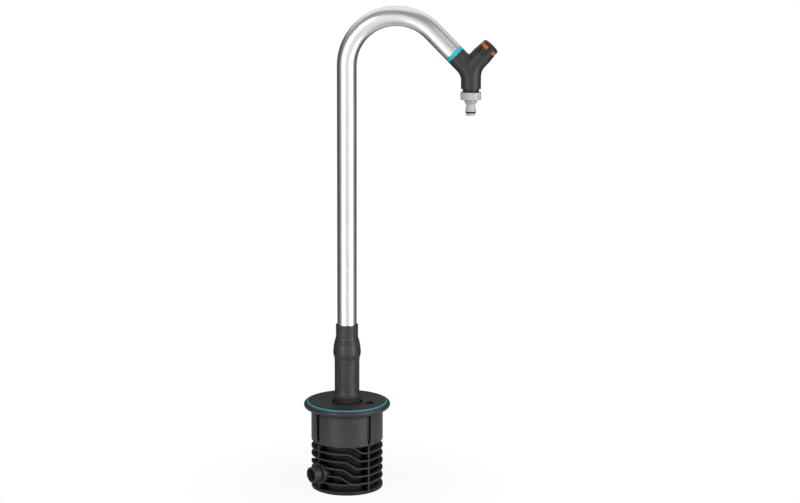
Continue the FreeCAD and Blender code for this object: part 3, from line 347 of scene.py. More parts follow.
# %% [markdown]
# The pipe is drawn aluminium, then anodised. Drawing pulls the metal through a die, which leaves
# hair-fine lines along the tube, also round the bend. So the streaks must follow the bend: the
# shader works out where a point sits in the round section of the tube. On the straight parts
# that is simply its distance from the axis, and in the bend it is how far it lies from the
# bend's centre, less the bend's radius. Noise that depends on the place in the section alone is
# then constant along the tube, which is just what a drawn line is.

# %% The pipe's path, from the CAD sizes
pipe_low, pipe_high = box_of("bent_pipe")
PIPE_RADIUS = -pipe_low.x
BEND_RADIUS = 81.0
BEND_ANGLE = math.radians(135.0)
PIPE_WALL = 1.5
bend_height = pipe_high.z - PIPE_RADIUS - BEND_RADIUS
fall = BEND_ANGLE - math.pi / 2
run_direction = Vector((math.cos(fall), 0, -math.sin(fall)))
bend_end = Vector((BEND_RADIUS * (1 + math.sin(fall)), 0, bend_height + BEND_RADIUS * math.cos(fall)))
ring_low, ring_high = box_of("pipe_trim_ring")
ring_centre = (ring_low + ring_high) / 2
RING_WIDTH = 6.8
straight_run = (ring_centre - bend_end).dot(run_direction) - RING_WIDTH / 2
print("pipe radius", round(PIPE_RADIUS, 2), "bend centre at", round(bend_height, 1),
      "straight run", round(straight_run, 1))


# %% Drawn aluminium
def drawn_aluminium(name):
    finish = Finish(name)
    place = finish.place()
    x, y, z = finish.parts(place)
    away = x - BEND_RADIUS * MM
    above = z - bend_height * MM
    reach = (away * away + above * above) ** 0.5
    run_x, run_z = x - bend_end.x * MM, z - bend_end.z * MM
    on_run = run_x * run_direction.x + run_z * run_direction.z
    across_run = run_x * -run_direction.z + run_z * run_direction.x
    in_bend = above > 0.0
    past_bend = on_run > 0.0
    across = in_bend * (reach - BEND_RADIUS * MM) + (1.0 - in_bend) * (0.0 - x)
    across = (1.0 - past_bend) * across + past_bend * across_run
    section = finish.node("ShaderNodeCombineXYZ", {}, {"X": across, "Y": y, "Z": z * 0.02})
    hair = finish.noise(section, 1500.0, 3.0, 0.6)
    streak = finish.noise(section, 420.0, 2.0)
    cloud = finish.noise(place, 14.0, 3.0, 0.55)
    patches = (streak * 0.6 + cloud * 0.4).ramp(0.3, 0.7)
    tone = finish.mixed(patches, (0.74, 0.75, 0.765, 1), (0.86, 0.865, 0.875, 1))
    gloss = 0.30 + 0.10 * (hair - 0.5) + 0.06 * (cloud - 0.5)
    relief = finish.bump(hair * 0.6 + streak * 0.4, 0.000012)
    return finish.ends_in(finish.principled(Base_Color=tone, Roughness=gloss, Metallic=1.0, Normal=relief))


aluminium = drawn_aluminium("drawn_aluminium")
print("aluminium ready")

# %% [markdown]
# Now every CAD node gets its finish. A node's shape is right and stays as it is; only what its
# material slots hold is changed. The record says which slot each node belongs to, so one small
# table from slot to material dresses the whole tap.

# %% Dress the CAD nodes
material_of_slot = {
    "box_plastic": box_black,
    "flange_plastic": satin_black,
    "foot_plastic": satin_black,
    "valve_plastic": valve_black,
    "teal_plastic": teal,
    "orange_plastic": orange,
    "connector_plastic": pale_grey,
    "pale_plastic": natural,
    "pipe_aluminium": aluminium,
    "seal_rubber": rubber,
    "steel": steel,
    "brass": brass,
    "disc_ceramic": white_ceramic,
}
slot_of_node = {entry["node"]: entry["material_slot"] for entry in frame["record"]["subparts"]}


def paint(piece, material):
    piece.data.materials.clear()
    piece.data.materials.append(material)


for node_name, node_object in frame["nodes"].items():
    paint(node_object, material_of_slot[slot_of_node[node_name]])
print("dressed", len(frame["nodes"]), "nodes")

# %% [markdown]
# Where a solid is too plain, a mesh takes its place. It is modelled in millimetres and shrunk to
# metres, and it is parented to an empty named for its body. Nearly all of these meshes grow from
# the same thing: rings of points, joined by bands of faces.


# %% A piece on its body
def add_piece(name, mesh, body, material, smooth_angle=35.0):
    """Puts a mesh, made in millimetres, into the scene on a body of the frame."""
    mesh.name = name
    mesh.transform(Matrix.Scale(MM, 4))
    mesh.update()
    piece = put(name, mesh)
    for face in mesh.polygons:
        face.use_smooth = True
    mesh.set_sharp_from_angle(angle=math.radians(smooth_angle))
    paint(piece, material)
    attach(piece, body)
    print(name, len(mesh.vertices), "vertices on", body)
    return piece


# %% Rings and bands
def turns(count):
    """Even steps of angle, once all round."""
    return [2 * math.pi * index / count for index in range(count)]


def band(work, ring, following):
    """Joins two closed rings of points by a band of faces."""
    count = len(ring)
    faces = []
    for index in range(count):
        after = (index + 1) % count
        faces.append(work.faces.new((ring[index], ring[after], following[after], following[index])))
    return faces


def closed_mesh(work):
    """Turns the faces outward and makes a mesh of them."""
    mesh = bpy.data.meshes.new("closed")
    bmesh.ops.recalc_face_normals(work, faces=work.faces)
    work.to_mesh(mesh)
    work.free()
    return mesh


print("mesh helpers ready")

# %% [markdown]
# The pipe is swept, not lathed: one round section is carried along its path. A CAD mesh of a
# bend has long thin triangles, and polished metal shows each of them in its reflections. A sweep
# with even rings gives a clean reflection, so the pipe is made afresh at exactly the same size,
# with its real wall and open ends.


# %% Sweep the pipe
LEG_STEPS, BEND_STEPS, RUN_STEPS = 26, 72, 6


def pipe_stations():
    """Points on the pipe's centre line, each with the direction that points out of the bend."""
    stations = []
    for index in range(LEG_STEPS):
        height = pipe_low.z + (bend_height - pipe_low.z) * index / LEG_STEPS
        stations.append((Vector((0, 0, height)), Vector((-1, 0, 0))))
    centre = Vector((BEND_RADIUS, 0, bend_height))
    for index in range(BEND_STEPS + 1):
        angle = BEND_ANGLE * index / BEND_STEPS
        out = Vector((-math.cos(angle), 0, math.sin(angle)))
        stations.append((centre + out * BEND_RADIUS, out))
    run_out = stations[-1][1]
    for index in range(1, RUN_STEPS + 1):
        stations.append((bend_end + run_direction * straight_run * index / RUN_STEPS, run_out))
    return stations


def sweep_pipe(outer, inner, segments=112):
    work = bmesh.new()
    side = Vector((0, 1, 0))
    walls = []
    for radius in (outer, inner):
        rings = []
        for spot, out in pipe_stations():
            ring = []
            for angle in turns(segments):
                ring.append(work.verts.new(spot + (out * math.cos(angle) + side * math.sin(angle)) * radius))
            rings.append(ring)
        for ring, following in zip(rings, rings[1:]):
            band(work, ring, following)
        walls.append(rings)
    for end in (0, -1):
        band(work, walls[0][end], walls[1][end])
    return closed_mesh(work)


pipe_mesh = sweep_pipe(PIPE_RADIUS, PIPE_RADIUS - PIPE_WALL)
pipe = add_piece("drawn_pipe", pipe_mesh, "pipe", aluminium)
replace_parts(pipe, "bent_pipe")

# %% [markdown]
# The valve body is a Y of three arms that melt into each other. Booleans of tubes leave a hard
# line where the arms meet, but a moulding has a soft fillet there. Such blends are easy to
# describe as a distance: the distance to each bent tube is known, and a smooth minimum of the
# two rounds the place where they meet. A voxel remesh gives even faces, and then every vertex is
# slid along the distance's slope until it lies exactly on the surface.

# %% Valve body: where its arms lie
valve_low, valve_high = box_of("valve_body")
spigot_low, spigot_high = box_of("outlet_spigot")
outlet_x = (spigot_low.x + spigot_high.x) / 2
ARM_RADIUS = (valve_high.y - valve_low.y) / 2
INLET_ARM = (Vector((outlet_x, 0, 0)) - ring_centre).x / run_direction.x - RING_WIDTH / 2
junction = ring_centre + run_direction * (INLET_ARM + RING_WIDTH / 2)
KNOB_ARM = 27.0
KNOB_RISE = 7.3
knob_lean = math.radians(43.5)
knob_direction = Vector((math.sin(knob_lean), 0, math.cos(knob_lean)))
BLEND = 22.0 + ARM_RADIUS
outlet_depth = valve_low.z - junction.z
print("arms meet at", [round(value, 1) for value in junction], "radius", round(ARM_RADIUS, 2))


# %% Valve body: distance to a bent tube
def bent_tube_distance(x, y, z, lean):
    """Distance to the surface of a tube that comes up from below and bends over to -X by lean."""
    reach = BLEND * math.tan(lean / 2)
    low_line = np.hypot(x, np.maximum(z + reach, 0.0))
    arm_x, arm_z = -math.sin(lean), math.cos(lean)
    along = x * arm_x + z * arm_z
    across = x * arm_z - z * arm_x
    arm_line = np.hypot(across, np.maximum(reach - along, 0.0))
    from_x, from_z = x + BLEND, z + reach
    angle = np.arctan2(from_z, from_x)
    arc = np.where((angle >= 0) & (angle <= lean), np.abs(np.hypot(from_x, from_z) - BLEND), 1e3)
    flat = np.minimum(np.minimum(low_line, arm_line), arc)
    return np.hypot(flat, y) - ARM_RADIUS


def valve_distance(points, softness=4.0):
    """The fillet between the arms fades out below them, where both tubes are the outlet."""
    x, y, z = points[:, 0], points[:, 1], points[:, 2]
    left = bent_tube_distance(x, y, z, fall)
    right = bent_tube_distance(-x, y, z - KNOB_RISE, knob_lean)
    overlap = np.maximum(softness - np.abs(left - right), 0.0) / softness
    fade = np.clip((z - 2.0) / 16.0, 0.0, 1.0)
    return np.minimum(left, right) - fade * overlap * overlap * softness / 4


print("valve distances ready")

# %% Valve body: rough tubes, even mesh, exact surface
SPARE = 6.0
VOXEL = 0.9
SLIDES = 12
NUDGE = 0.05


def tube_between(work, start, end, radius, segments=48):
    made = bmesh.ops.create_cone(work, cap_ends=True, segments=segments, radius1=radius, radius2=radius,
                                 depth=(end - start).length)
    aim = (end - start).to_track_quat("Z", "Y").to_matrix().to_4x4()
    bmesh.ops.transform(work, matrix=Matrix.Translation((start + end) / 2) @ aim, verts=made["verts"])


def valve_surface():
    work = bmesh.new()
    root = Vector((0, 0, KNOB_RISE))
    tube_between(work, root, Vector((0, 0, outlet_depth - SPARE)), ARM_RADIUS)
    tube_between(work, Vector(), -run_direction * (INLET_ARM + SPARE), ARM_RADIUS)
    tube_between(work, root, root + knob_direction * (KNOB_ARM + SPARE), ARM_RADIUS)
    bmesh.ops.create_uvsphere(work, u_segments=32, v_segments=16, radius=ARM_RADIUS)
    rough = bpy.data.meshes.new("valve_rough")
    work.to_mesh(rough)
    work.free()
    holder = put("valve_rough", rough)
    remesh = holder.modifiers.new("even", "REMESH")
    remesh.mode = "VOXEL"
    remesh.voxel_size = VOXEL
    graph = bpy.context.evaluated_depsgraph_get()
    even = bpy.data.meshes.new_from_object(holder.evaluated_get(graph))
    bpy.data.objects.remove(holder)
    spots = np.array([vertex.co for vertex in even.vertices], float)
    for _ in range(SLIDES):
        distance = valve_distance(spots)
        slope = np.empty_like(spots)
        for axis in range(3):
            nudge = np.zeros(3)
            nudge[axis] = NUDGE
            slope[:, axis] = (valve_distance(spots + nudge) - valve_distance(spots - nudge)) / (2 * NUDGE)
        size = np.maximum(np.linalg.norm(slope, axis=1), 0.3)[:, None]
        spots -= np.clip(distance, -1.5, 1.5)[:, None] * slope / size ** 2 * 0.9
    even.vertices.foreach_set("co", spots.ravel())
    print("valve surface", len(spots), "vertices")
    return even


# %% Valve body: open ends
def open_ends(mesh, ends):
    """Cuts each arm square at its end, turns the rim over and sinks its bore."""
    work = bmesh.new()
    work.from_mesh(mesh)
    for spot, direction, bore, depth in ends:
        everything = work.verts[:] + work.edges[:] + work.faces[:]
        cut = bmesh.ops.bisect_plane(
            work, geom=everything, plane_co=spot, plane_no=direction, clear_outer=True)
        rim = [edge for edge in cut["geom_cut"] if isinstance(edge, bmesh.types.BMEdge)]
        loop = rim
        for radius, sink in ((ARM_RADIUS - 0.5, 0.0), (bore, 0.0), (bore, depth)):
            made = bmesh.ops.extrude_edge_only(work, edges=loop)["geom"]
            loop = [item for item in made if isinstance(item, bmesh.types.BMEdge)]
            for vertex in {vertex for edge in loop for vertex in edge.verts}:
                offset = vertex.co - spot
                flat = offset - direction * offset.dot(direction)
                vertex.co = spot - direction * sink + flat.normalized() * radius
        bmesh.ops.edgenet_fill(work, edges=loop)
    return closed_mesh(work)


OUTLET_BORE, OUTLET_DEPTH = 13.3, 12.0
PIPE_BORE, PIPE_DEPTH = 14.4, 3.0
BONNET_BORE, BONNET_DEPTH = 13.1, 8.0
knob_end = Vector((0, 0, KNOB_RISE)) + knob_direction * KNOB_ARM
valve_mesh = open_ends(valve_surface(), [
    (Vector((0, 0, outlet_depth)), Vector((0, 0, -1)), OUTLET_BORE, OUTLET_DEPTH),
    (-run_direction * INLET_ARM, -run_direction, PIPE_BORE, PIPE_DEPTH),
    (knob_end, knob_direction, BONNET_BORE, BONNET_DEPTH),
])
valve_mesh.transform(Matrix.Translation(junction))
valve = add_piece("valve_shell", valve_mesh, "pipe", valve_black, 50.0)
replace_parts(valve, "valve_body")

# %% [markdown]
# Most of the tap is round, and round things are modelled on a lathe: an outline of radius and
# height is turned about an axis. Real mouldings add flats, flutes and grip pads to that. So the
# lathe here takes a second function that says how the radius changes with the angle and the
# height, and the same few lines make a smooth collar, a fluted nut or a facetted tube.


# %% The lathe
def finer(outline, step):
    """Adds points along an outline so that no stretch is longer than step."""
    points = []
    for start, end in zip(outline, outline[1:] + outline[:1]):
        length = math.dist(start, end)
        count = max(1, math.ceil(length / step))
        for index in range(count):
            share = index / count
            points.append((start[0] + (end[0] - start[0]) * share, start[1] + (end[1] - start[1]) * share))
    return points


def lathe(outline, segments=128, relief=None, centre=(0.0, 0.0)):
    """Turns a closed outline of (radius, height) about a vertical axis."""
    work = bmesh.new()
    rings = []
    for radius, height in outline:
        ring = []
        for angle in turns(segments):
            reach = radius - (relief(angle, radius, height) if relief else 0.0)
            spot = (centre[0] + reach * math.cos(angle), centre[1] + reach * math.sin(angle), height)
            ring.append(work.verts.new(spot))
        rings.append(ring)
    for ring, following in zip(rings, rings[1:] + rings[:1]):
        band(work, ring, following)
    if min(radius for radius, height in outline) == 0.0:
        bmesh.ops.remove_doubles(work, verts=work.verts, dist=0.0001)
        bmesh.ops.delete(work, geom=[edge for edge in work.edges if not edge.link_faces], context="EDGES")
    return closed_mesh(work)


print("lathe ready")

# %% [markdown]
# The knob is a tapered sleeve with three wide windows, and an orange marker shows through them.
# The outer and the inner wall of the sleeve share one grid of points, so each side of a window
# joins a point of one wall to the same point of the other. The cap is domed, as a cap that gets
# pressed by a palm should be.

# %% Knob: places along its axis
knob_frame = Matrix.Translation(junction + Vector((0, 0, KNOB_RISE))) @ Matrix.Rotation(knob_lean, 4, "Y")
KNOB_RADIUS = 15.8
KNOB_TAPER = 0.0806
KNOB_BORE = 12.2
WINDOW_LOW, WINDOW_HIGH = 37.6, 43.4
WINDOW_MIDDLES = (105, 225, 345)
CAP_SEAT = 45.3
SLEEVE_PLACES = (27.3, 30.5, 33.7, WINDOW_LOW, 39.1, 41.3, WINDOW_HIGH, CAP_SEAT - 0.1)
print("knob windows from", WINDOW_LOW, "to", WINDOW_HIGH, "at", WINDOW_MIDDLES)


def knob_surface(place):
    """The sleeve's outer radius, which shrinks toward the cap."""
    return KNOB_RADIUS - KNOB_TAPER * (place - KNOB_ARM)


def in_window(angle, half=40.0):
    return any(abs((angle - middle + 180) % 360 - 180) < half for middle in WINDOW_MIDDLES)


# %% Knob: sleeve with windows
def windowed_sleeve(segments=180):
    work = bmesh.new()
    walls = []
    for radius_at in (knob_surface, lambda place: KNOB_BORE):
        walls.append([[work.verts.new((radius_at(place) * math.cos(t), radius_at(place) * math.sin(t), place))
                       for t in turns(segments)] for place in SLEEVE_PLACES])
    outside, inside = walls
    rows = range(len(SLEEVE_PLACES) - 1)
    open_rows = [row for row in rows if WINDOW_LOW <= SLEEVE_PLACES[row] < WINDOW_HIGH]
    solid = {(row, column) for row in rows for column in range(segments)
             if not (row in open_rows and in_window(360 * (column + 0.5) / segments))}
    for row, column in sorted(solid):
        after = (column + 1) % segments
        low, high = (row, column), (row + 1, column)
        low_after, high_after = (row, after), (row + 1, after)
        for wall in walls:
            work.faces.new([wall[i][j] for i, j in (low, low_after, high_after, high)])
        sides = (((row - 1, column), low, low_after), ((row + 1, column), high, high_after),
                 ((row, (column - 1) % segments), low, high), ((row, after), low_after, high_after))
        for neighbour, (i, j), (k, m) in sides:
            if neighbour not in solid:
                work.faces.new((outside[i][j], outside[k][m], inside[k][m], inside[i][j]))
    bmesh.ops.delete(work, geom=[vertex for vertex in work.verts if not vertex.link_faces], context="VERTS")
    return closed_mesh(work)


# %% Knob: marker and cap
def on_knob(name, mesh, replaced, material, angle=35.0):
    mesh.transform(knob_frame)
    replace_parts(add_piece(name, mesh, "knob", material, angle), replaced)


MARKER_INNER, MARKER_BEND = 10.1, 13.0
MARKER_SUNK = 0.25


def marker_relief(angle, radius, place):
    """Behind the sleeve's bars the marker stays inside the bore."""
    if radius <= MARKER_BEND or in_window(math.degrees(angle), 39.0):
        return 0.0
    return radius - KNOB_BORE + 0.05


marker_low, marker_high = WINDOW_LOW + 0.1, WINDOW_HIGH - 0.1
marker_outline = [(MARKER_INNER, marker_low), (knob_surface(marker_low) - MARKER_SUNK, marker_low),
                  (knob_surface(marker_high) - MARKER_SUNK, marker_high), (MARKER_INNER, marker_high)]
cap_outline = [(0.0, 48.5), (5.0, 48.4), (9.0, 48.0), (11.8, 47.4), (13.2, 46.8), (13.95, 46.1),
               (14.25, 45.5), (14.1, CAP_SEAT), (12.15, CAP_SEAT), (12.15, 44.1), (0.0, 44.1)]
marker_mesh = lathe(finer(marker_outline, 1.5), 360, marker_relief)
on_knob("knob_shell", windowed_sleeve(), "knob_sleeve", knob_black)
on_knob("marker_shell", marker_mesh, "knob_marker", orange)
on_knob("cap_shell", lathe(cap_outline), "knob_cap", knob_black, 40.0)

# %% [markdown]
# The pale nipple under the valve is what a hose coupling snaps onto. Its nut has broad grip pads
# with grooves between them, and below the shoulder the barrel steps down to a waist, a collar and
# the seat of its rubber ring. One lathe outline gives all the steps, and the relief function
# carves the grooves of the nut and the small ribs of the shoulder.

# %% Round corners and soft steps
def rounded(corners, radius, steps=3):
    """Rounds the corners of a closed outline by a radius, with a few points on each arc."""
    points = []
    corners = [Vector(corner) for corner in corners]
    for index, corner in enumerate(corners):
        before = corners[index - 1] - corner
        after = corners[(index + 1) % len(corners)] - corner
        cut = min(radius, 0.45 * before.length, 0.45 * after.length)
        start = corner + before.normalized() * cut
        end = corner + after.normalized() * cut
        for step in range(steps + 1):
            share = step / steps
            points.append(tuple(start.lerp(corner, share).lerp(corner.lerp(end, share), share)))
    return points


def smooth_step(value, low, high):
    share = min(1.0, max(0.0, (value - low) / (high - low)))
    return share * share * (3 - 2 * share)


print("outline helpers ready")

# %% Hose connector
tip = box_of("hose_connector")[0].z
CONNECTOR_PADS = 10
CONNECTOR_RIBS = 8
PADS_LOW, PADS_HIGH = 25.3, 37.9
PAD_REACH, PAD_GROOVE = 16.75, 1.15
RIB_GROOVE = 0.8


def connector_relief(angle, radius, height):
    above_tip = height - tip
    if radius > PAD_REACH - 0.75 and above_tip > PADS_LOW + 0.5:
        wave = abs(math.sin(angle * CONNECTOR_PADS / 2))
        low_end = smooth_step(above_tip, PADS_LOW + 1.0, PADS_LOW + 2.0)
        high_end = 1.0 - smooth_step(above_tip, PADS_HIGH - 2.0, PADS_HIGH - 0.7)
        return PAD_GROOVE * (1.0 - smooth_step(wave, 0.14, 0.30)) * low_end * high_end
    if 9.0 < radius < 10.5 and 20.4 < above_tip < PADS_LOW + 0.3:
        wave = abs(math.sin(angle * CONNECTOR_RIBS / 2))
        return RIB_GROOVE * (1.0 - smooth_step(wave, 0.2, 0.45))
    return 0.0


# Radius and height above the tip.
connector_steps = [
    (5.0, 0.0), (6.9, 0.0), (7.5, 0.8), (7.6, 4.0), (6.3, 4.0), (6.3, 6.4), (8.2, 6.4), (8.55, 7.4),
    (8.55, 11.6), (7.4, 12.6), (7.4, 18.9), (9.8, 20.3), (10.0, 21.2), (10.0, PADS_LOW), (15.8, PADS_LOW),
    (PAD_REACH, PADS_LOW + 0.9), (PAD_REACH, PADS_HIGH - 0.7), (16.2, PADS_HIGH), (13.3, PADS_HIGH),
    (13.3, 26.6), (5.0, 26.6)]
connector_outline = rounded([(radius, tip + above_tip) for radius, above_tip in connector_steps], 0.3)
outlet_axis = (outlet_x, 0.0)
connector_mesh = lathe(finer(connector_outline, 1.2), 160, connector_relief, outlet_axis)
connector = add_piece("connector_shell", connector_mesh, "pipe", pale_grey, 40.0)
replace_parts(connector, "hose_connector")

# %% Rubber ring of the connector
SEAL_RADIUS, SEAL_CORD = 7.3, 1.2
seal_level = tip + 5.2
seal_outline = [(SEAL_RADIUS + SEAL_CORD * math.cos(t), seal_level + SEAL_CORD * math.sin(t))
                for t in turns(20)]
seal_mesh = lathe(seal_outline, 96, centre=outlet_axis)
seal = add_piece("seal_shell", seal_mesh, "pipe", rubber)
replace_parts(seal, "connector_o_ring")

# %% [markdown]
# Below the pipe the plastic foot has three mouldings: a tube with long shallow flats that gives
# the hand a hold, the swivel collar with its seam, and the clamp nut with sunk grip pads. Each
# comes from the lathe, at the main sizes of the CAD solid it replaces.

# %% Foot tube: heights and flats
foot_low, foot_high = box_of("foot_tube")
collar_low, collar_high = box_of("swivel_collar")
FOOT_RADIUS = 20.75
FOOT_BOTTOM = foot_low.z
# The disc's box ends at the top of its raised line.
LINE_HEIGHT = 0.4
disc_top = box_of("cover_disc")[1].z - LINE_HEIGHT
DISC_LEVEL = disc_top + 0.3
FLARE_WALL = DISC_LEVEL + 10.9
FLARE_TOP = DISC_LEVEL + 18.7
FLARE_SWEEP = 9.4
MOUTH = collar_low.z - 9.0
SHOULDER = 160.0
FLATS, FLAT_DEPTH = 12, 0.4
print("foot flare from", round(FLARE_WALL, 1), "to", round(FLARE_TOP, 1))


def foot_relief(angle, radius, height):
    if radius < FOOT_RADIUS - 0.15 or not FLARE_TOP < height < MOUTH:
        return 0.0
    hill = math.cos(angle * FLATS / 2) ** 2
    ends = smooth_step(height, FLARE_TOP, FLARE_TOP + 9) * (1 - smooth_step(height, MOUTH - 4, MOUTH - 2))
    return FLAT_DEPTH * smooth_step(hill, 0.3, 0.55) * ends


def flare(height):
    """Radius of the hollow sweep between the foot's rim and the plain tube."""
    return FOOT_RADIUS + FLARE_SWEEP - math.sqrt(FLARE_SWEEP ** 2 - (FLARE_TOP - height) ** 2)


# %% Foot tube: outline
flare_heights = [FLARE_WALL + (FLARE_TOP - FLARE_WALL) * step / 14 for step in range(1, 15)]
foot_outline = [(15.3, FOOT_BOTTOM), (20.5, FOOT_BOTTOM), (20.5, DISC_LEVEL), (22.3, DISC_LEVEL),
                (22.7, DISC_LEVEL + 3.0), (23.4, DISC_LEVEL + 6.5), (24.3, DISC_LEVEL + 9.0),
                (24.9, FLARE_WALL - 0.8), (24.85, FLARE_WALL + 0.1)]
foot_outline += [(flare(height), height) for height in flare_heights]
foot_outline += [(FOOT_RADIUS, MOUTH), (20.95, MOUTH + 3.0), (21.4, MOUTH + 6.0), (22.0, collar_low.z - 0.6),
                 (21.7, collar_low.z - 0.1), (19.7, collar_low.z - 0.1),
                 (19.7, foot_high.z), (18.2, foot_high.z), (18.2, SHOULDER), (15.3, SHOULDER)]
foot_mesh = lathe(finer(foot_outline, 2.0), 180, foot_relief)


# %% Foot tube: bayonet lugs
def add_blocks(mesh, blocks):
    """Adds closed ring sectors: start and end angle in degrees, two radii and two heights."""
    work = bmesh.new()
    work.from_mesh(mesh)
    for start, end, inner, outer, bottom, top in blocks:
        loops = []
        for step in range(13):
            angle = math.radians(start + (end - start) * step / 12)
            corners = ((inner, bottom), (outer, bottom), (outer, top), (inner, top))
            loops.append([work.verts.new((r * math.cos(angle), r * math.sin(angle), z)) for r, z in corners])
        faces = [work.faces.new(loops[0]), work.faces.new(loops[-1])]
        for loop, following in zip(loops, loops[1:]):
            faces += band(work, loop, following)
        bmesh.ops.recalc_face_normals(work, faces=faces)
    work.to_mesh(mesh)
    work.free()


LUG_HALF = 22
LUG_INNER, LUG_OUTER = 19.0, 24.2
LUG_LOW, LUG_HIGH = 116.5, 121.5
add_blocks(foot_mesh, [(middle - LUG_HALF, middle + LUG_HALF, LUG_INNER, LUG_OUTER, LUG_LOW, LUG_HIGH)
                       for middle in (0, 180)])
foot = add_piece("foot_shell", foot_mesh, "foot", satin_black)
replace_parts(foot, "foot_tube")

# %% [markdown]
# The swivel collar is made of two halves that are snapped together, so a fine dark seam runs
# round it above the belly. A seam is only believable if it has depth and soft lips: the outline
# steps in a good half millimetre, and each lip is rounded.

# %% Swivel collar
nut_low, nut_high = box_of("clamp_nut")
COLLAR_BOTTOM = collar_low.z
COLLAR_TOP = COLLAR_BOTTOM + 26.3
BELLY_TOP = 19.0
SEAM = COLLAR_BOTTOM + 22.7


def cone(height):
    """Radius of the collar above its belly."""
    return 21.8 - 1.55 * (height - COLLAR_BOTTOM - BELLY_TOP) / 7.3


COLLAR_BORE = 19.75
NECK_RADIUS, NECK_BORE = 17.3, 16.3
belly = [(22.0, 0.0), (22.3, 0.4), (22.75, 2.0), (22.95, 3.3), (23.0, 5.0), (23.0, 7.5), (22.95, 9.2),
         (22.65, 12.2), (22.25, 15.8), (21.85, BELLY_TOP)]
lip = cone(SEAM)
seam = [(cone(SEAM - 0.9), SEAM - 0.9), (lip - 0.25, SEAM - 0.45), (lip - 0.6, SEAM - 0.35),
        (lip - 0.6, SEAM + 0.35), (lip - 0.25, SEAM + 0.45), (cone(SEAM + 0.9), SEAM + 0.9)]
collar_outline = [(COLLAR_BORE, COLLAR_BOTTOM), *((radius, COLLAR_BOTTOM + place) for radius, place in belly)]
collar_outline += [*seam, (cone(COLLAR_TOP - 0.5), COLLAR_TOP - 0.5), (cone(COLLAR_TOP) - 0.4, COLLAR_TOP),
                   (NECK_RADIUS, COLLAR_TOP), (NECK_RADIUS, collar_high.z), (NECK_BORE, collar_high.z),
                   (NECK_BORE, foot_high.z + 0.3), (COLLAR_BORE, foot_high.z + 0.3)]
collar_mesh = lathe(finer(collar_outline, 1.5), 160)
collar = add_piece("collar_shell", collar_mesh, "foot", satin_black, 30.0)
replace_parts(collar, "swivel_collar")

# %% [markdown]
# The clamp nut is turned by hand, so ten sunk pads with soft edges give the fingers a hold. Its
# top opens like a funnel round the pipe, and a narrow rounded rim ends it.

# %% Clamp nut
NUT_RADIUS = 18.5
NUT_BORE = 17.35
NUT_PADS = 10
PAD_DEPTH = 0.75
nut_bottom, nut_top = nut_low.z, nut_high.z
SLEEVE_BOTTOM = nut_bottom + 6.0


def nut_relief(angle, radius, height):
    if radius < NUT_RADIUS - 0.3 or height < SLEEVE_BOTTOM:
        return 0.0
    low_end = smooth_step(height, SLEEVE_BOTTOM + 0.4, SLEEVE_BOTTOM + 1.4)
    high_end = 1.0 - smooth_step(height, nut_top - 3.9, nut_top - 2.9)
    return PAD_DEPTH * smooth_step(math.cos(angle * NUT_PADS), -0.35, -0.05) * low_end * high_end


nut_outline = rounded([
    (NUT_BORE, nut_bottom), (20.2, nut_bottom), (19.3, nut_bottom + 2.3), (18.65, nut_bottom + 4.4),
    (NUT_RADIUS, SLEEVE_BOTTOM), (NUT_RADIUS, nut_top - 1.0), (NUT_RADIUS - 0.3, nut_top - 0.3),
    (NUT_RADIUS - 0.7, nut_top), (17.0, nut_top - 1.6), (16.3, nut_top - 2.4), (16.3, nut_top - 3.7),
    (NUT_BORE, nut_top - 3.7),
], 0.12)
nut_mesh = lathe(finer(nut_outline, 0.6), 200, nut_relief)
nut = add_piece("nut_shell", nut_mesh, "clamp_nut", satin_black, 30.0)
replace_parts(nut, "clamp_nut")

# %% [markdown]
# The wide rim of the flange is a soft oval nose. The coloured ring stands inside it, and the
# ring's top slopes outward, so that it is a bright line at the front and hides behind its own
# edge at the back. A black lip lines the ring where the disc ends. Behind the slots of the skirt
# a thin liner keeps the light out of the box.

# %% Flange, ring and liner
deck = box_of("top_flange")[0].z
ring_seat, ring_top = (corner.z for corner in box_of("trim_ring"))
RING_OUTER, RING_INNER = 66.6, 64.95
PLATE = 3.0
NOSE_MIDDLE, NOSE_REACH, NOSE_HEIGHT = 66.9, 5.3, 4.5
nose_level = ring_seat - 1.4
nose = []
for step in range(25):
    angle = math.radians(-90 + 180 * step / 24)
    tall = NOSE_HEIGHT if angle > 0 else NOSE_REACH
    nose.append((NOSE_MIDDLE + NOSE_REACH * math.cos(angle), nose_level + tall * math.sin(angle)))
flange_outline = [(RING_OUTER, ring_seat), (28.3, ring_seat), (28.3, ring_seat - PLATE),
                  (47.0, ring_seat - PLATE), (47.0, deck), (50.0, deck), (50.0, deck + 7), (53.5, deck + 7),
                  (53.5, deck), (56.7, deck), (56.7, deck + 7.3), (60.3, deck + 7.3),
                  (60.3, nose_level - NOSE_REACH), *nose, (RING_OUTER, nose_level + NOSE_HEIGHT)]
ring_outline = [(RING_INNER, ring_seat), (RING_OUTER, ring_seat), (RING_OUTER, ring_top - 0.7),
                (66.3, ring_top - 0.45), (65.3, ring_top - 0.05), (RING_INNER, ring_top)]
lip_outline = [(63.6, ring_top - 1.6), (64.9, ring_top - 1.6), (64.9, ring_top), (64.6, ring_top - 0.1),
               (64.2, ring_top - 0.9)]
liner_outline = [(55.7, deck - 48.0), (56.5, deck - 48.0), (56.5, deck - 3.6), (55.7, deck - 3.6)]
rim = {}
for name, outline, slot_name, material in (
        ("flange_shell", flange_outline, "flange_plastic", satin_black),
        ("ring_shell", ring_outline, "teal_plastic", teal),
        ("disc_lip", lip_outline, "flange_plastic", satin_black),
        ("slot_liner", liner_outline, "box_plastic", satin_black)):
    rim[name] = add_piece(name, lathe(outline, 256), "root", material, 30.0)
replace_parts(rim["flange_shell"], "top_flange")
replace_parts(rim["ring_shell"], "trim_ring")

# %% [markdown]
# The mark in the cover disc is a well from which no light comes back. A near-black block of
# painted shade, a little lower than the disc, fills its lower part: a lens with a pointed hood.

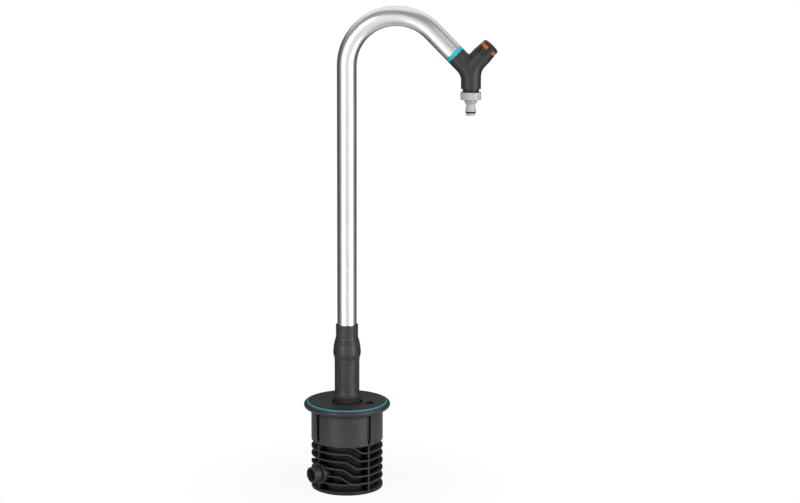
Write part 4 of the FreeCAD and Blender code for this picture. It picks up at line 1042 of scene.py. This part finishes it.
# %% Mark in the disc
MARK_MIDDLE = 39.5
MARK_HALF = 8.5
LENS_RADIUS, LENS_SHIFT = 9.87, 4.6
PEAK_HEIGHT, PEAK_HALF = 14.0, 4.3
MARK_TURN = math.radians(-11.3)


def mark_points():
    """The outline of the mark, in the disc's plane: upper side forward, lower side back."""
    upper, lower = [], []
    for step in range(41):
        off = MARK_HALF * (step / 20 - 1)
        arc = math.sqrt(LENS_RADIUS ** 2 - off ** 2) - LENS_SHIFT
        upper.append((MARK_MIDDLE + off, max(arc, PEAK_HEIGHT * (1 - abs(off) / PEAK_HALF))))
        lower.append((MARK_MIDDLE + off, -arc))
    return upper + lower[::-1]


def prism(points, bottom, top):
    mesh = bpy.data.meshes.new("prism")
    count = len(points)
    corners = [(x, y, height) for height in (bottom, top) for x, y in points]
    sides = []
    for index in range(count):
        after = (index + 1) % count
        sides.append((index, after, count + after, count + index))
    mesh.from_pydata(corners, [], [tuple(range(count))[::-1], tuple(range(count, 2 * count)), *sides])
    return mesh


# Painted shade: a near-black block stands for the shade inside the mark's well.
well = Finish("painted_well_shade")
grains = well.noise(well.place(), 900.0).ramp(0.3, 0.7)
well_shade_tone = well.mixed(grains, (0.001, 0.001, 0.001, 1), (0.004, 0.004, 0.004, 1))
painted_well_shade = well.ends_in(well.principled(Base_Color=well_shade_tone, Roughness=0.85, Specular_IOR_Level=0.03))
well_mesh = prism(mark_points(), disc_top - 1.15, disc_top - 0.15)
well_mesh.transform(Matrix.Rotation(MARK_TURN, 4, "Z"))
add_piece("mark_well", well_mesh, "root", painted_well_shade)

# %% [markdown]
# The light is a studio tent. The camera sees plain white around the tap, and so does a reflection
# that no card stops, while the light that falls on matt surfaces is weaker, so that black plastic
# stays black. Light Path tells the kinds of ray apart.

# %% World
scene.view_settings.view_transform = "Standard"
tent = Finish("tent", bpy.data.worlds)
seen = 0.0
for ray in ("Is Camera Ray", "Is Glossy Ray", "Is Transmission Ray"):
    seen = tent.node("ShaderNodeLightPath", output=ray) + seen
dim = tent.node("ShaderNodeBackground", {}, {"Color": (0.93, 0.96, 1.0, 1), "Strength": 0.4})
white = tent.node("ShaderNodeBackground", {}, {"Color": (1, 1, 1, 1)})
scene.world = tent.ends_in(tent.between(seen.clamped(), dim, white), "ShaderNodeOutputWorld")
print("tent up")

# %% [markdown]
# Two tall softboxes draw the long highlights down the tubes, and a third one lights disc and
# flange from above. Polished metal shows nothing but its surroundings, so the tent's wall, which
# only reflections see, is white beside the camera and almost black at the back. That draws the
# dark edges that make the pipe look round. Grey cards stand for the rest of the tent.

# %% Softboxes
CENTRE = Vector((0.06, 0.0, 0.40))


def around(azimuth, distance, height):
    """A place round the tap. Azimuth 0 is where the camera stands, positive to its right."""
    angle = VIEW_TURN + math.radians(azimuth - 90)
    return Vector((CENTRE.x + distance * math.cos(angle), CENTRE.y + distance * math.sin(angle), height))


def softbox(name, azimuth, distance, height, width, tall, power):
    data = bpy.data.lights.new(name, "AREA")
    data.shape = "RECTANGLE"
    data.size = width
    data.size_y = tall
    data.energy = power
    lamp = put(name, data)
    lamp.location = around(azimuth, distance, height)
    aim = lamp.location - Vector((CENTRE.x, CENTRE.y, height - 0.1))
    lamp.rotation_mode = "QUATERNION"
    lamp.rotation_quaternion = aim.to_track_quat("Z", "Y")
    return lamp


softbox("key_right", 54, 1.9, 0.5, width=0.55, tall=2.5, power=26)
softbox("fill_left", -38, 1.9, 0.5, width=0.45, tall=2.5, power=15.5)
softbox("overhead", 10, 1.6, 1.9, width=1.2, tall=1.2, power=10.5).visible_glossy = False


# %% Cards that only reflections see
def staged(name, corners, faces, shade):
    """A thing that belongs to the studio and not to the tap."""
    data = bpy.data.meshes.new(name)
    data.from_pydata(corners, [], faces)
    thing = put(name, data)
    paint(thing, shade)
    return thing


def reflected(name, corners, faces, shade):
    """A card that only glossy reflections can see."""
    flag = staged(name, corners, faces, shade)
    flag.visible_camera = flag.visible_diffuse = flag.visible_shadow = flag.visible_transmission = False


def strip(first, last, start, end):
    """A curved strip round the tap between two (distance, height) rims."""
    azimuths = range(first, last + 1, 2)
    corners = [tuple(around(azimuth, *rim)) for rim in (start, end) for azimuth in azimuths]
    count = len(azimuths)
    faces = [(index, index + 1, count + index + 1, count + index) for index in range(count - 1)]
    return corners, faces


# %% The tent's wall and cards
RIGHT_WHITE, RIGHT_FADE = math.radians(58), math.radians(56)
LEFT_WHITE, LEFT_FADE = math.radians(50), math.radians(42)


def wall_shade():
    """White next to the camera, almost black at the back; the left turns dark sooner."""
    finish = Finish("tent_wall")
    x, y = finish.parts(finish.place())[:2]
    angle = (y - CENTRE.y).maths("ARCTAN2", x - CENTRE.x)
    front = VIEW_TURN - math.pi / 2
    right_side = (angle - (front + RIGHT_WHITE)).maths("WRAP", 2 * math.pi, 0.0)
    left_side = 2 * math.pi - RIGHT_WHITE - LEFT_WHITE - right_side
    dark = right_side.ramp(0.0, RIGHT_FADE).maths("MINIMUM", left_side.ramp(0.0, LEFT_FADE))
    return finish.ends_in(finish.between(dark, finish.glow(1.0), finish.glow(0.08)))


def card(name, level):
    finish = Finish(name)
    return finish.ends_in(finish.glow(level))


WALL = 2.3
reflected("tent_wall", *strip(50, 310, (WALL, -2.0), (WALL, 1.8)), wall_shade())
reflected("tent_brow", *strip(-110, 110, (0.67, 2.6), (WALL, 1.4)), card("brow_grey", 0.3))
reflected("tent_front", *strip(-18, 22, (2.35, -2.0), (2.35, 2.1)), card("front_grey", 0.82))
reflected("tent_ground", *strip(0, 360, (0.005, -0.02), (0.6, -0.02)), card("ground_grey", 0.6))
print("wall and cards up")

# %% [markdown]
# The floor is only there to catch a breath of shadow. To the camera it glows in the white of the
# background, darkened a little where the tap keeps the light away, so no edge of it shows.

# %% Floor
HALF = 6.0
floor_corners = [(-HALF, -HALF, 0), (HALF, -HALF, 0), (HALF, HALF, 0), (-HALF, HALF, 0)]
ground = Finish("floor")
matt = ground.node("ShaderNodeBsdfDiffuse", {}, {"Color": (0.8, 0.8, 0.8, 1)})
floor_x, floor_y = ground.parts(ground.place())[:2]
far = ((floor_x * floor_x + floor_y * floor_y) ** 0.5).ramp(0.10, 0.32)
floor_shade = ground.ends_in(ground.between(0.93 + 0.07 * far, matt, ground.glow(1.0)))
floor = staged("floor", floor_corners, [(0, 1, 2, 3)], floor_shade)
floor.location.z = -0.5 * MM
floor.visible_diffuse = floor.visible_glossy = False
print("floor laid")
